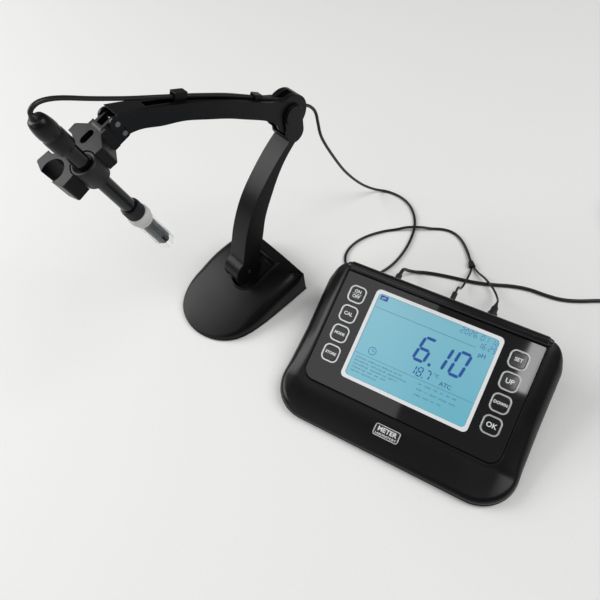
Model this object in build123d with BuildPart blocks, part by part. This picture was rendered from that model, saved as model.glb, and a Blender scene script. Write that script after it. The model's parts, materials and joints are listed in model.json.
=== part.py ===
"""Bench pH meter: a sloping console, a swing-arm electrode stand, a combination
electrode in its holder, the lead that joins them and the console's power lead.

The row frame has +X along the console's width, +Y towards its back, +Z up, and
its origin on the table under the middle of everything but the free leads.
The stand has its own right, back and up; the electrode leans in that frame.
"""
import os
from math import acos, atan2, cos, degrees, hypot, pi, radians, sin, tan

from build123d import *

os.makedirs("parts", exist_ok=True)

# ------------------------------------------------------------ driving dimensions
console_x = 80.074            # middle of the screen, from the origin
console_y = -8.964
panel_tilt = 22.0           # degrees from level
panel_lip_height = 20.0     # overlay's front edge above the table
tray_half_width = 102.4     # panel tray, to the middle of its groove
tray_front = 64.6           # from the screen's middle down the slope
tray_back = 55.4
tray_corner = 12.0
groove = 0.7
body_drop = 0.8             # body's face below the overlay's
body_half_width = 124.5
body_front = 97.5           # nose, from the screen's middle, level
body_back = 60.0
crease_front = 62.0
wall = 2.5
roof = 4.5
foot_height = 2.5
seam_height = 6.0
front_corner = 38.0
back_corner = 18.0
edge_round = 11.0
side_inset = 7.0            # from the body's side to its hollow
deck_fall = 4.6             # front deck's fall from the crease to the nose's round
nose_round = 5.5
badge_front = 75.5          # badge, forward of the screen's middle

screen_width = 132.0
screen_height = 96.8
screen_border = 3.6
screen_corner = 5.0
glass_ledge = 3.0
key_column = 83.5           # key centres each side of the screen's middle
key_top = 34.1
key_pitch = 22.0
key_side = 14.6
key_hole = 15.3
key_ring = 18.2
key_corner = 4.2
key_travel = 0.8
key_face = 1.3              # key's face above the overlay
key_skirt = -5.0            # key's underside
board_face = -8.4
dome_face = -6.1

bnc_x, probe_x, power_x = 45.0, 2.0, -62.0
socket_z = 30.0
jack_z = 24.0
plug_reach = 34.0           # plugs' back ends behind the console's back wall

stand_x = console_x - 203.5     # middle of the base's back edge
stand_y = console_y + 60.1
stand_yaw = 17.56               # degrees that the stand's length is turned from +Y
base_height = 37.8
base_wall = 2.6
pad_height = 1.5
boss_half = 20.5
boss_wall = 3.0
boss_height = 33.0

foot_pin = (-46.0, 47.0)        # stand's own back, up
elbow_pin = (44.0, 203.0)
column_crank = (9.0, -1.5)      # from each of those pins to the column link's pins
head_pin = (-109.9, 291.8)
arm_crank = (3.2, -11.4)        # from each arm pin to the arm link's pins
column_half = 11.0
column_inside = 8.8
foot_round = 17.5
web = 2.5
arm_half = 8.5
arm_inside = 6.3
drum_radius = 18.4
plate_in, plate_out = 3.3, 6.1
link_half = 2.8
link_width = 5.0
eye_radius = 4.0
pin_radius = 2.0
main_pin_radius = 3.0
running_gap = 0.06
open_pivot_gap = 0.5
cable_slot = 7.0

head_tilt = 14.5                # degrees that the electrode leans from upright
head_origin = (-146.1, 286.4)   # middle of the holder's top face
electrode_side = 16.0           # electrode's place right of the stand's middle
holder_height = 18.0
pocket_radius = 10.2
stem_radius = 6.0
cap_radius = 8.0
cap_bottom, cap_top = 17.4, 47.0
collar_radius = 8.2
collar_top, collar_bottom = -57.0, -68.0
ring_radius, ring_neck = 9.4, 8.1
ring_middle, ring_bottom = -75.0, -80.0
electrode_tip = -117.0
guard_outer, guard_inner = 7.4, 6.4
inner_radius, bulb_radius = 6.1, 4.2
bulb_above_tip, inner_above_tip = 4.0, 8.0

lead_diameter = 3.2
thin_diameter = 2.4
power_diameter = 4.0
coil_radius = 22.0              # at the middle of the put-away turns
coil_layers = 3
coil_stack = 3
coil_middle = (187.0, 222.0)    # from the screen's middle, level

# ------------------------------------------------------------ frames
tilt_cos = cos(radians(panel_tilt))
tilt_sin = sin(radians(panel_tilt))
tilt_tan = tan(radians(panel_tilt))
screen_z = panel_lip_height + tray_front * tilt_sin
face = Plane(
    origin=(console_x, console_y, screen_z),
    x_dir=(1, 0, 0),
    z_dir=(0, -tilt_sin, tilt_cos),
)
slope = Plane(
    origin=(console_x, console_y, screen_z),
    x_dir=(0, tilt_cos, tilt_sin),
    z_dir=(1, 0, 0),
)
across = Plane(
    origin=(console_x, console_y, screen_z),
    x_dir=(1, 0, 0),
    z_dir=(0, tilt_cos, tilt_sin),
)
console_side = Plane(origin=(console_x, console_y, 0), x_dir=(0, 1, 0), z_dir=(1, 0, 0))
console_plan = Plane(origin=(console_x, console_y, 0), x_dir=(1, 0, 0), z_dir=(0, 0, 1))
back_wall = Plane(
    origin=(console_x, console_y + body_back, 0), x_dir=(1, 0, 0), z_dir=(0, -1, 0)
)

stand_right = (cos(radians(stand_yaw)), -sin(radians(stand_yaw)), 0)
stand_back = (sin(radians(stand_yaw)), cos(radians(stand_yaw)), 0)
stand_side = Plane(origin=(stand_x, stand_y, 0), x_dir=stand_back, z_dir=stand_right)
stand_plan = Plane(origin=(stand_x, stand_y, 0), x_dir=stand_right, z_dir=(0, 0, 1))


def stand_point(right, back, up):
    """Row point from the stand's own right, back and up."""
    return (
        stand_x + right * stand_right[0] + back * stand_back[0],
        stand_y + right * stand_right[1] + back * stand_back[1],
        up,
    )


def console_point(right, back, up):
    """Row point from the console's own right, back and up."""
    return (console_x + right, console_y + back, up)


head_cos = cos(radians(head_tilt))
head_sin = sin(radians(head_tilt))
head_up = (-head_sin * stand_back[0], -head_sin * stand_back[1], head_cos)
head_back = (head_cos * stand_back[0], head_cos * stand_back[1], head_sin)
head_side = Plane(origin=stand_point(0, *head_origin), x_dir=head_back, z_dir=stand_right)
head_plan = Plane(origin=stand_point(0, *head_origin), x_dir=stand_right, z_dir=head_up)
electrode = Plane(
    origin=stand_point(electrode_side, *head_origin), x_dir=stand_right, z_dir=head_up
)


def plus(point, step):
    """A point moved by a step."""
    return (point[0] + step[0], point[1] + step[1])


def in_head(point):
    """A point of the stand's side view, in the head's leaning side view."""
    back = point[0] - head_origin[0]
    up = point[1] - head_origin[1]
    return (back * head_cos + up * head_sin, -back * head_sin + up * head_cos)


foot_link_pin = plus(foot_pin, column_crank)
elbow_column_pin = plus(elbow_pin, column_crank)
elbow_arm_pin = plus(elbow_pin, arm_crank)
head_link_pin = plus(head_pin, arm_crank)


def save(part, name):
    """Label a finished piece and write it."""
    part.label = name
    export_step(part, "parts/" + name + ".step")


def span(start, end, radius):
    """Middle, length and turn of a round-ended bar between two points."""
    middle = ((start[0] + end[0]) / 2, (start[1] + end[1]) / 2)
    length = hypot(end[0] - start[0], end[1] - start[1])
    turn = degrees(atan2(end[1] - start[1], end[0] - start[0]))
    return middle, length, radius * 2, turn


def beside(points, offset):
    """The same run of points moved to its right-hand side by `offset`."""
    moved = []
    for i, point in enumerate(points):
        before = points[max(i - 1, 0)]
        after = points[min(i + 1, len(points) - 1)]
        run = hypot(after[0] - before[0], after[1] - before[1])
        right = ((after[1] - before[1]) / run, -(after[0] - before[0]) / run)
        moved.append((point[0] + right[0] * offset, point[1] + right[1] * offset))
    return moved


# ------------------------------------------------------------ console: shells
crease_z = screen_z - crease_front * tilt_tan - body_drop / tilt_cos
top_back_z = screen_z + body_back * tilt_tan - body_drop / tilt_cos
body_outline = (
    (-body_front + 2.5, foot_height),
    (-body_front, seam_height),
    (-body_front + 1.2, seam_height + 3.6),
    (-body_front + nose_round, crease_z - deck_fall),
    (-crease_front, crease_z),
    (body_back, top_back_z),
    (body_back, foot_height),
)
inside_front = -body_front + wall + 2.0
inside_back = body_back - wall
inside_outline = (
    (inside_front, foot_height),
    (inside_front, seam_height + 2.5),
    (-crease_front, crease_z - roof / tilt_cos + 1.0),
    (inside_back, top_back_z - wall * tilt_tan - roof / tilt_cos),
    (inside_back, foot_height),
)
body_depth = body_front + body_back
plan_middle = (0, (body_back - body_front) / 2)
screw_spots = ((-100, -58), (100, -58), (-106, 44), (106, 44))
window_width = screen_width - 2 * screen_border
window_height = screen_height - 2 * screen_border
key_spots = []
for column in (-key_column, key_column):
    for row in range(4):
        key_spots.append((column, key_top - row * key_pitch))

with BuildPart() as body_form:
    with BuildSketch(console_side):
        with BuildLine():
            Polyline(*body_outline, close=True)
        make_face()
    extrude(amount=body_half_width, both=True)
    with BuildSketch(console_plan) as body_plan:
        with Locations(plan_middle):
            Rectangle(2 * body_half_width, body_depth)
        fillet(body_plan.vertices().group_by(Axis.Y)[0], front_corner)
        fillet(body_plan.vertices().group_by(Axis.Y)[-1], back_corner)
    extrude(amount=120, mode=Mode.INTERSECT)
    with BuildSketch(across) as body_section:
        with Locations((0, body_drop + 75)):
            Rectangle(2 * body_half_width, 150)
        fillet(body_section.vertices().group_by(Axis.Z)[-1], edge_round)
    extrude(amount=200, both=True, mode=Mode.INTERSECT)

with BuildPart() as body_hollow:
    with BuildSketch(console_side):
        with BuildLine():
            Polyline(*inside_outline, close=True)
        make_face()
    extrude(amount=body_half_width - side_inset, both=True)
    with BuildSketch(console_plan) as hollow_plan:
        with Locations(((0, (inside_back + inside_front) / 2))):
            Rectangle(2 * (body_half_width - side_inset), inside_back - inside_front)
        fillet(hollow_plan.vertices().group_by(Axis.Y)[0], front_corner - wall)
        fillet(hollow_plan.vertices().group_by(Axis.Y)[-1], back_corner - wall)
    extrude(amount=120, mode=Mode.INTERSECT)

with BuildPart() as upper_shell:
    add(body_form.part)
    add(body_hollow.part, mode=Mode.SUBTRACT)
    with BuildSketch(console_plan):
        with Locations(*screw_spots):
            Circle(4.5)
    extrude(amount=100)
    add(body_form.part, mode=Mode.INTERSECT)
    with BuildSketch(console_plan):
        with Locations(*screw_spots):
            Circle(1.5)
    extrude(amount=14, mode=Mode.SUBTRACT)
    with BuildSketch(console_plan):
        Rectangle(300, 300)
    extrude(amount=seam_height, mode=Mode.SUBTRACT)
    with BuildSketch(face.offset(-4.0)) as tray_recess:
        with Locations((0, (tray_back - tray_front) / 2)):
            Rectangle(2 * tray_half_width, tray_front + tray_back)
        fillet(tray_recess.vertices().group_by(Axis.Y)[0], tray_corner)
        fillet(tray_recess.vertices().group_by(Axis.Y)[-1], 2)
    extrude(amount=8, mode=Mode.SUBTRACT)
    with BuildSketch(face.offset(-12.0)):
        Rectangle(188, 92)
    extrude(amount=9, mode=Mode.SUBTRACT)
    with BuildSketch(back_wall):
        with Locations((-8, socket_z)):
            Rectangle(150, 26)
    extrude(amount=1.2, mode=Mode.SUBTRACT)
    with BuildSketch(back_wall):
        with Locations((bnc_x, socket_z), (probe_x, socket_z), (power_x, jack_z)):
            Circle(4.5)
    extrude(amount=12, mode=Mode.SUBTRACT)
save(upper_shell.part, "upper_shell")

with BuildPart() as lower_shell:
    with BuildSketch(console_plan.offset(foot_height)) as floor_plan:
        with Locations((0, (body_back - body_front) / 2)):
            Rectangle(2 * body_half_width, body_depth)
        fillet(floor_plan.vertices().group_by(Axis.Y)[0], front_corner)
        fillet(floor_plan.vertices().group_by(Axis.Y)[-1], back_corner)
    extrude(amount=seam_height - foot_height)
    chamfer(lower_shell.faces().sort_by(Axis.Z)[0].edges(), 1.8)
    with BuildSketch(console_plan.offset(seam_height)) as rib_plan:
        with Locations((0, (inside_back + inside_front) / 2)):
            Rectangle(2 * (body_half_width - side_inset - 0.5), inside_back - inside_front - 1)
        fillet(rib_plan.vertices().group_by(Axis.Y)[0], front_corner - wall)
        fillet(rib_plan.vertices().group_by(Axis.Y)[-1], back_corner - wall)
        offset(amount=-1.6, mode=Mode.SUBTRACT)
    extrude(amount=1.8)
    with BuildSketch(console_plan.offset(foot_height)):
        with Locations(*screw_spots):
            Circle(3.0)
    extrude(amount=2.0, mode=Mode.SUBTRACT)
    with BuildSketch(console_plan.offset(foot_height)):
        with Locations(*screw_spots):
            Circle(1.5)
    extrude(amount=4.0, mode=Mode.SUBTRACT)
save(lower_shell.part, "lower_shell")

with BuildPart() as case_screws:
    with BuildSketch(console_plan.offset(foot_height + 0.2)):
        with Locations(*screw_spots):
            Circle(3.0)
    extrude(amount=1.8)
    with BuildSketch(console_plan.offset(foot_height + 2)):
        with Locations(*screw_spots):
            Circle(1.5)
    extrude(amount=9)
save(case_screws.part, "case_screws")

with BuildPart() as console_feet:
    with BuildSketch(console_plan):
        with Locations((-84, -66), (84, -66), (-92, 40), (92, 40)):
            Circle(8.0)
    extrude(amount=foot_height)
save(console_feet.part, "console_feet")

with BuildPart() as hood:
    with BuildSketch(slope):
        with BuildLine():
            Polyline(
                (55.5, -body_drop), (55.5, 2.4), (57.6, 4.8), (60.6, 5.8),
                (63.6, 4.9), (65.4, 2.6), (64.6, 0.6), (64.0, -body_drop), close=True,
            )
        make_face()
    extrude(amount=101, both=True)
    with BuildSketch(slope):
        with BuildLine():
            Polyline(
                (57.5, -body_drop), (57.5, 1.6), (59.2, 3.6), (61.4, 4.4),
                (63.3, 3.2), (64.0, 1.0), (63.4, -body_drop), close=True,
            )
        make_face()
    extrude(amount=105.7, both=True)
save(hood.part, "hood")

# ------------------------------------------------------------ console: panel
tray_height = tray_front + tray_back - 2 * groove
with BuildPart() as panel_tray:
    with BuildSketch(face.offset(-4.0)) as tray_plan:
        with Locations((0, (tray_back - tray_front) / 2)):
            Rectangle(2 * (tray_half_width - groove), tray_height)
        fillet(tray_plan.vertices().group_by(Axis.Y)[0], tray_corner - groove)
        fillet(tray_plan.vertices().group_by(Axis.Y)[-1], 1.5)
        RectangleRounded(
            window_width - 2 * glass_ledge, window_height - 2 * glass_ledge, 2,
            mode=Mode.SUBTRACT,
        )
        with Locations(*key_spots):
            RectangleRounded(key_hole, key_hole, key_corner, mode=Mode.SUBTRACT)
    extrude(amount=3.0)
    with BuildSketch(face.offset(board_face)):
        with Locations((-70, 41), (70, 41), (-70, -41), (70, -41)):
            Circle(3.0)
    extrude(amount=-4.0 - board_face)
save(panel_tray.part, "panel_tray")

with BuildPart() as overlay:
    with BuildSketch(face.offset(-1.0)) as overlay_plan:
        with Locations((0, (tray_back - tray_front) / 2)):
            Rectangle(2 * (tray_half_width - groove), tray_height)
        fillet(overlay_plan.vertices().group_by(Axis.Y)[0], tray_corner - groove)
        fillet(overlay_plan.vertices().group_by(Axis.Y)[-1], 1.5)
        RectangleRounded(window_width, window_height, screen_corner - 1, mode=Mode.SUBTRACT)
        with Locations(*key_spots):
            RectangleRounded(key_hole, key_hole, key_corner, mode=Mode.SUBTRACT)
    extrude(amount=1.0)
save(overlay.part, "overlay")

with BuildPart() as screen_frame:
    with BuildSketch(face):
        RectangleRounded(screen_width, screen_height, screen_corner)
        RectangleRounded(window_width, window_height, screen_corner - 1, mode=Mode.SUBTRACT)
    extrude(amount=0.5)
save(screen_frame.part, "screen_border")

with BuildPart() as lcd_glass:
    with BuildSketch(face.offset(-1.0)):
        RectangleRounded(window_width - 0.2, window_height - 0.2, screen_corner - 1)
    extrude(amount=0.9)
save(lcd_glass.part, "lcd_glass")

with BuildPart() as backlight:
    with BuildSketch(face.offset(-3.8)):
        RectangleRounded(
            window_width - 2 * glass_ledge - 0.4, window_height - 2 * glass_ledge - 0.4, 2
        )
    extrude(amount=2.8)
save(backlight.part, "backlight")

with BuildPart() as main_board:
    with BuildSketch(face.offset(board_face - 1.6)):
        RectangleRounded(186, 90, 2)
    extrude(amount=1.6)
save(main_board.part, "main_board")

with BuildPart() as key_domes:
    with BuildSketch(face.offset(board_face)):
        with Locations(*key_spots):
            Circle(4.0)
    extrude(amount=dome_face - board_face)
save(key_domes.part, "key_domes")

with BuildPart() as key_rings:
    with BuildSketch(face):
        with Locations(*key_spots):
            RectangleRounded(key_ring, key_ring, key_corner + 1.4)
            RectangleRounded(key_hole, key_hole, key_corner, mode=Mode.SUBTRACT)
    extrude(amount=0.7)
save(key_rings.part, "key_rings")

for number, spot in enumerate(key_spots):
    with BuildPart() as key:
        with BuildSketch(face.offset(key_skirt)):
            with Locations(spot):
                RectangleRounded(key_side, key_side, key_corner - 0.3)
        extrude(amount=key_face - key_skirt)
        chamfer(key.faces().sort_by(Axis.Z)[-1].edges(), 0.4)
    side_name = "left" if number < 4 else "right"
    save(key.part, "key_" + side_name + "_" + str(number % 4 + 1))

deck_slope = atan2(deck_fall, body_front - nose_round - crease_front)
badge_up = crease_z - (badge_front - crease_front) * tan(deck_slope)
badge_plane = Plane(
    origin=(console_x, console_y - badge_front, badge_up),
    x_dir=(1, 0, 0),
    z_dir=(0, -sin(deck_slope), cos(deck_slope)),
)
with BuildPart() as badge:
    with BuildSketch(badge_plane):
        RectangleRounded(26, 12, 2.5)
    extrude(amount=0.6)
save(badge.part, "badge")

# ------------------------------------------------------------ console: back
with BuildPart() as rear_plate:
    with BuildSketch(back_wall):
        with Locations((-8, socket_z)):
            Rectangle(150, 26)
        with Locations((bnc_x, socket_z), (probe_x, socket_z), (power_x, jack_z)):
            Circle(4.5, mode=Mode.SUBTRACT)
    extrude(amount=1.2)
save(rear_plate.part, "rear_plate")

with BuildPart() as bnc_socket:
    with BuildSketch(back_wall.offset(8.0)):
        with Locations((bnc_x, socket_z)):
            Circle(4.5)
    extrude(amount=-20)
    with BuildSketch(back_wall):
        with Locations((bnc_x, socket_z)):
            RegularPolygon(7.5, 6)
    extrude(amount=-2)
save(bnc_socket.part, "bnc_socket")

with BuildPart() as temperature_socket:
    with BuildSketch(back_wall):
        with Locations((probe_x, socket_z)):
            Circle(4.5)
    extrude(amount=8)
    with BuildSketch(back_wall):
        with Locations((probe_x, socket_z)):
            Circle(7.0)
    extrude(amount=-2.5)
save(temperature_socket.part, "temperature_socket")

with BuildPart() as power_jack:
    with BuildSketch(back_wall):
        with Locations((power_x, jack_z)):
            Circle(4.5)
    extrude(amount=8)
    with BuildSketch(back_wall):
        with Locations((power_x, jack_z)):
            RectangleRounded(13, 12, 1.5)
    extrude(amount=-2.0)
save(power_jack.part, "power_jack")

# ------------------------------------------------------------ stand: base
base_plan_points = [
    (49.5, 0), (49.8, -38), (48.5, -74), (43.5, -97), (33.5, -111.5), (18.5, -122), (-2, -127.5),
    (-24, -125), (-43, -114), (-56, -92), (-60, -60), (-56.5, -26), (-49.5, 0),
]
inset_plan_points = beside(base_plan_points, base_wall)
inset_plan_points[0] = (inset_plan_points[0][0], -base_wall)
inset_plan_points[-1] = (inset_plan_points[-1][0], -base_wall)
weight_plan_points = [(right * 0.94, back * 0.94 - 3.5) for right, back in inset_plan_points]
base_top_line = ((0, base_height), (-30, 34.2), (-64, 25.0), (-98, 13.5), (-130, 4.5))
lowered_line = [(back, up - base_wall) for back, up in base_top_line[:-1]] + [(-130, 3.0)]

with BuildPart() as base_form:
    with BuildSketch(stand_plan.offset(pad_height)):
        with BuildLine():
            Line(base_plan_points[-1], base_plan_points[0])
            Spline(*base_plan_points)
        make_face()
    extrude(amount=base_height)
    with BuildSketch(stand_side):
        with BuildLine():
            Spline(*base_top_line)
            Polyline((-130, 4.5), (-130, 0), (0, 0), (0, base_height))
        make_face()
    extrude(amount=70, both=True, mode=Mode.INTERSECT)

with BuildPart() as base_hollow:
    with BuildSketch(stand_plan.offset(pad_height)):
        with BuildLine():
            Line(inset_plan_points[-1], inset_plan_points[0])
            Spline(*inset_plan_points)
        make_face()
    extrude(amount=base_height)
    with BuildSketch(stand_side):
        with BuildLine():
            Spline(*lowered_line)
            Polyline((-130, 3.0), (-130, 0), (0, 0), (0, base_height - base_wall))
        make_face()
    extrude(amount=70, both=True, mode=Mode.INTERSECT)

with BuildPart() as base_cover:
    add(base_form.part)
    add(base_hollow.part, mode=Mode.SUBTRACT)
    with BuildSketch(stand_plan.offset(12)):
        with Locations((0, -44)):
            Rectangle(2 * boss_half, 18)
        with Locations((0, -47)):
            Circle(boss_half)
        with Locations((0, -30)):
            Rectangle(2 * boss_half, 34)
    extrude(amount=boss_height - 12)
    with BuildSketch(stand_side):
        with Locations(foot_pin):
            Circle(foot_round + 1.0)
        with Locations((foot_pin[0] + 14, foot_pin[1] + 6)):
            Rectangle(46, 30)
    extrude(amount=boss_half - boss_wall, both=True, mode=Mode.SUBTRACT)
    with BuildSketch(stand_side):
        for pin in (foot_pin, foot_link_pin):
            middle, length, width, turn = span(pin, (pin[0], 22), 5.5)
            with Locations(middle):
                SlotCenterToCenter(length, width, rotation=turn)
        with Locations(((foot_pin[0] + foot_link_pin[0]) / 2, 34)):
            Rectangle(column_crank[0], 20)
        for pin in (foot_pin, foot_link_pin):
            with Locations(pin):
                Circle(pin_radius, mode=Mode.SUBTRACT)
    extrude(amount=plate_out, both=True)
    with BuildSketch(stand_side):
        with Locations(((foot_pin[0] + foot_link_pin[0]) / 2, 47)):
            Rectangle(40, 23)
    extrude(amount=plate_in, both=True, mode=Mode.SUBTRACT)
save(base_cover.part, "base_cover")

with BuildPart() as base_weight:
    with BuildSketch(stand_plan.offset(pad_height)):
        with BuildLine():
            Line(weight_plan_points[-1], weight_plan_points[0])
            Spline(*weight_plan_points)
        make_face()
    extrude(amount=8.0)
    add(base_hollow.part, mode=Mode.INTERSECT)
save(base_weight.part, "base_weight")

with BuildPart() as base_pads:
    with BuildSketch(stand_plan):
        with Locations((-36, -14), (36, -14), (-26, -96), (26, -96)):
            Circle(6.0)
    extrude(amount=pad_height)
save(base_pads.part, "base_pads")

with BuildPart() as foot_pins:
    with BuildSketch(stand_side):
        with Locations(foot_pin):
            Circle(pin_radius)
    extrude(amount=column_half + 0.4, both=True)
    with BuildSketch(stand_side):
        with Locations(foot_link_pin):
            Circle(pin_radius)
    extrude(amount=plate_out + 0.1, both=True)
save(foot_pins.part, "foot_pins")

# ------------------------------------------------------------ stand: column
column_front = (
    (-56, 36), (-55, 50), (-50, 66), (-41, 92), (-30, 115), (-17, 134), (1, 152), (18, 166),
    (35, 177),
)
column_back = (
    (53, 183.5), (44, 175), (30, 164), (16, 149), (2.5, 129), (-10, 107), (-19, 82), (-27, 62),
    (-32, 44),
)
with BuildPart() as column:
    with BuildSketch(stand_side):
        with BuildLine():
            Spline(*column_front)
            Line(column_front[-1], column_back[0])
            Spline(*column_back)
            Line(column_back[-1], column_front[0])
        make_face()
        with Locations(foot_pin):
            Circle(foot_round)
        middle, length, width, turn = span((43.5, 183), elbow_pin, 10.5)
        with Locations(middle):
            SlotCenterToCenter(length, width, rotation=turn)
    extrude(amount=column_half, both=True)
    with BuildSketch(stand_side):
        with BuildLine():
            Spline(*beside(column_front, web))
            Polyline(
                beside(column_front, web)[-1], (42, 182), (90, 190), (10, 60), (-20, 20),
                beside(column_front, web)[0],
            )
        make_face()
        with Locations(elbow_pin):
            Circle(22.5)
        with Locations(foot_pin):
            Circle(14.5)
        with Locations((foot_pin[0], foot_pin[1] - 20)):
            Rectangle(40, 40)
    extrude(amount=column_inside, both=True, mode=Mode.SUBTRACT)
    with BuildSketch(stand_side):
        with Locations(foot_pin):
            Circle(pin_radius + running_gap)
        with Locations(elbow_pin):
            Circle(main_pin_radius)
    extrude(amount=column_half, both=True, mode=Mode.SUBTRACT)
save(column.part, "column")

with BuildPart() as elbow_pins:
    with BuildSketch(stand_side):
        with Locations(elbow_pin):
            Circle(main_pin_radius)
    extrude(amount=column_half, both=True)
    with BuildSketch(stand_side.offset(column_half)):
        with Locations(elbow_pin):
            Circle(9.5)
    extrude(amount=1.5)
    with BuildSketch(stand_side.offset(-column_half)):
        with Locations(elbow_pin):
            Circle(9.5)
    extrude(amount=-1.5)
save(elbow_pins.part, "elbow_pins")

column_link_line = (
    foot_link_pin, (-31.5, 70), (-28.0, 100), (-16.5, 121), (-1.5, 138), (15.5, 153), (33, 164.5),
    (49, 174), (58.5, 187), elbow_column_pin,
)
with BuildPart() as column_link:
    with BuildSketch(stand_side):
        with BuildLine():
            Spline(*beside(column_link_line, link_width / 2))
            Line(
                beside(column_link_line, link_width / 2)[-1],
                beside(column_link_line, -link_width / 2)[-1],
            )
            Spline(*reversed(beside(column_link_line, -link_width / 2)))
            Line(
                beside(column_link_line, -link_width / 2)[0],
                beside(column_link_line, link_width / 2)[0],
            )
        make_face()
        with Locations(foot_link_pin, elbow_column_pin):
            Circle(eye_radius)
        with Locations(foot_link_pin):
            Circle(pin_radius + running_gap, mode=Mode.SUBTRACT)
        with Locations(elbow_column_pin):
            Circle(pin_radius + open_pivot_gap, mode=Mode.SUBTRACT)
    extrude(amount=link_half, both=True)
save(column_link.part, "column_link")

# ------------------------------------------------------------ stand: knuckle
with BuildPart() as knuckle:
    with BuildSketch(stand_side):
        for start, end in (
            (elbow_pin, elbow_column_pin),
            (elbow_pin, elbow_arm_pin),
            (elbow_column_pin, elbow_arm_pin),
        ):
            middle, length, width, turn = span(start, end, 5.6)
            with Locations(middle):
                SlotCenterToCenter(length, width, rotation=turn)
        with Locations(elbow_pin):
            Circle(main_pin_radius + running_gap, mode=Mode.SUBTRACT)
    extrude(amount=plate_out, both=True)
    with BuildSketch(stand_side):
        with Locations(elbow_pin):
            Circle(40)
    extrude(amount=plate_in, both=True, mode=Mode.SUBTRACT)
    with BuildSketch(stand_side):
        with Locations(elbow_column_pin, elbow_arm_pin):
            Circle(pin_radius)
    extrude(amount=plate_out, both=True)
save(knuckle.part, "knuckle")

# ------------------------------------------------------------ stand: arm
arm_top = (
    (37, 220.5), (18.6, 231), (-8, 249), (-24, 258.5), (-47, 271.5), (-76, 285), (-94, 293),
    (-108, 298.8),
)
arm_under = (
    (-104, 279.5), (-91, 276), (-81, 271), (-63, 264), (-44, 253.5), (-20, 239), (-3, 227),
    (20, 209), (25, 202.6),
)
with BuildPart() as arm:
    with BuildSketch(stand_side):
        with BuildLine():
            Spline(*arm_top)
            Line(arm_top[-1], arm_under[0])
            Spline(*arm_under)
            Polyline(arm_under[-1], elbow_pin, arm_top[0])
        make_face()
        with Locations(elbow_pin):
            Circle(drum_radius)
        with Locations(head_pin):
            Circle(5.8)
    extrude(amount=arm_half, both=True)
    with BuildSketch(stand_side):
        with BuildLine():
            Spline(*beside(arm_top, -web))
            Polyline(
                beside(arm_top, -web)[-1], (-130, 292), (-130, 250), (-60, 225), (0, 190),
                (30, 170), (52, 170), (66, 198), (66, 210.5), elbow_pin, beside(arm_top, -web)[0],
            )
        make_face()
        with Locations(elbow_pin):
            Circle(drum_radius - 2.4)
        with Locations(head_pin):
            Circle(6.2)
    extrude(amount=arm_inside, both=True, mode=Mode.SUBTRACT)
    with BuildSketch(stand_side.offset(-cable_slot / 2)):
        with BuildLine():
            Polyline((-84, 296), (-84, 280), (0, 236), (36, 212), (46, 207), (54, 222), (0, 262), close=True)
        make_face()
    extrude(amount=cable_slot, mode=Mode.SUBTRACT)
    with BuildSketch(stand_side):
        with Locations(elbow_pin):
            Circle(main_pin_radius + running_gap)
        with Locations(head_pin):
            Circle(pin_radius + running_gap)
    extrude(amount=arm_half, both=True, mode=Mode.SUBTRACT)
save(arm.part, "arm")

arm_link_line = (
    elbow_arm_pin, (31, 203.5), (17, 217.5), (-3, 233), (-24, 247.0), (-45, 258.8), (-64, 268.3),
    (-85, 277.5), head_link_pin,
)
with BuildPart() as arm_link:
    with BuildSketch(stand_side):
        with BuildLine():
            Spline(*beside(arm_link_line, link_width / 2))
            Line(
                beside(arm_link_line, link_width / 2)[-1],
                beside(arm_link_line, -link_width / 2)[-1],
            )
            Spline(*reversed(beside(arm_link_line, -link_width / 2)))
            Line(
                beside(arm_link_line, -link_width / 2)[0],
                beside(arm_link_line, link_width / 2)[0],
            )
        make_face()
        with Locations(elbow_arm_pin, head_link_pin):
            Circle(eye_radius)
        with Locations(elbow_arm_pin):
            Circle(pin_radius + running_gap, mode=Mode.SUBTRACT)
        with Locations(head_link_pin):
            Circle(pin_radius + open_pivot_gap, mode=Mode.SUBTRACT)
    extrude(amount=link_half, both=True)
save(arm_link.part, "arm_link")

with BuildPart() as cable_tabs:
    for near, far in (((-61, 278.1), (-51, 273.4)), ((10, 236.9), (17, 232.2))):
        run = hypot(far[0] - near[0], far[1] - near[1])
        along = ((far[0] - near[0]) / run, (far[1] - near[1]) / run)
        up = (-along[1], along[0])
        reach = 6.8 if near[0] < 0 else 4.4
        with BuildSketch(stand_side):
            with BuildLine():
                Polyline(
                    near, far, (far[0] + up[0] * reach, far[1] + up[1] * reach),
                    (near[0] + up[0] * reach, near[1] + up[1] * reach), close=True,
                )
            make_face()
        extrude(amount=3.6, both=True)
        with BuildSketch(stand_side):
            with BuildLine():
                Polyline(
                    plus(near, (-up[0] * 4 - along[0], -up[1] * 4 - along[1])),
                    plus(far, (-up[0] * 4 + along[0], -up[1] * 4 + along[1])),
                    plus(far, (up[0] * (reach - 1.2) + along[0], up[1] * (reach - 1.2) + along[1])),
                    plus(near, (up[0] * (reach - 1.2) - along[0], up[1] * (reach - 1.2) - along[1])),
                    close=True,
                )
            make_face()
        extrude(amount=2.4, both=True, mode=Mode.SUBTRACT)
    add(arm.part, mode=Mode.SUBTRACT)
save(cable_tabs.part, "cable_tabs")

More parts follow.
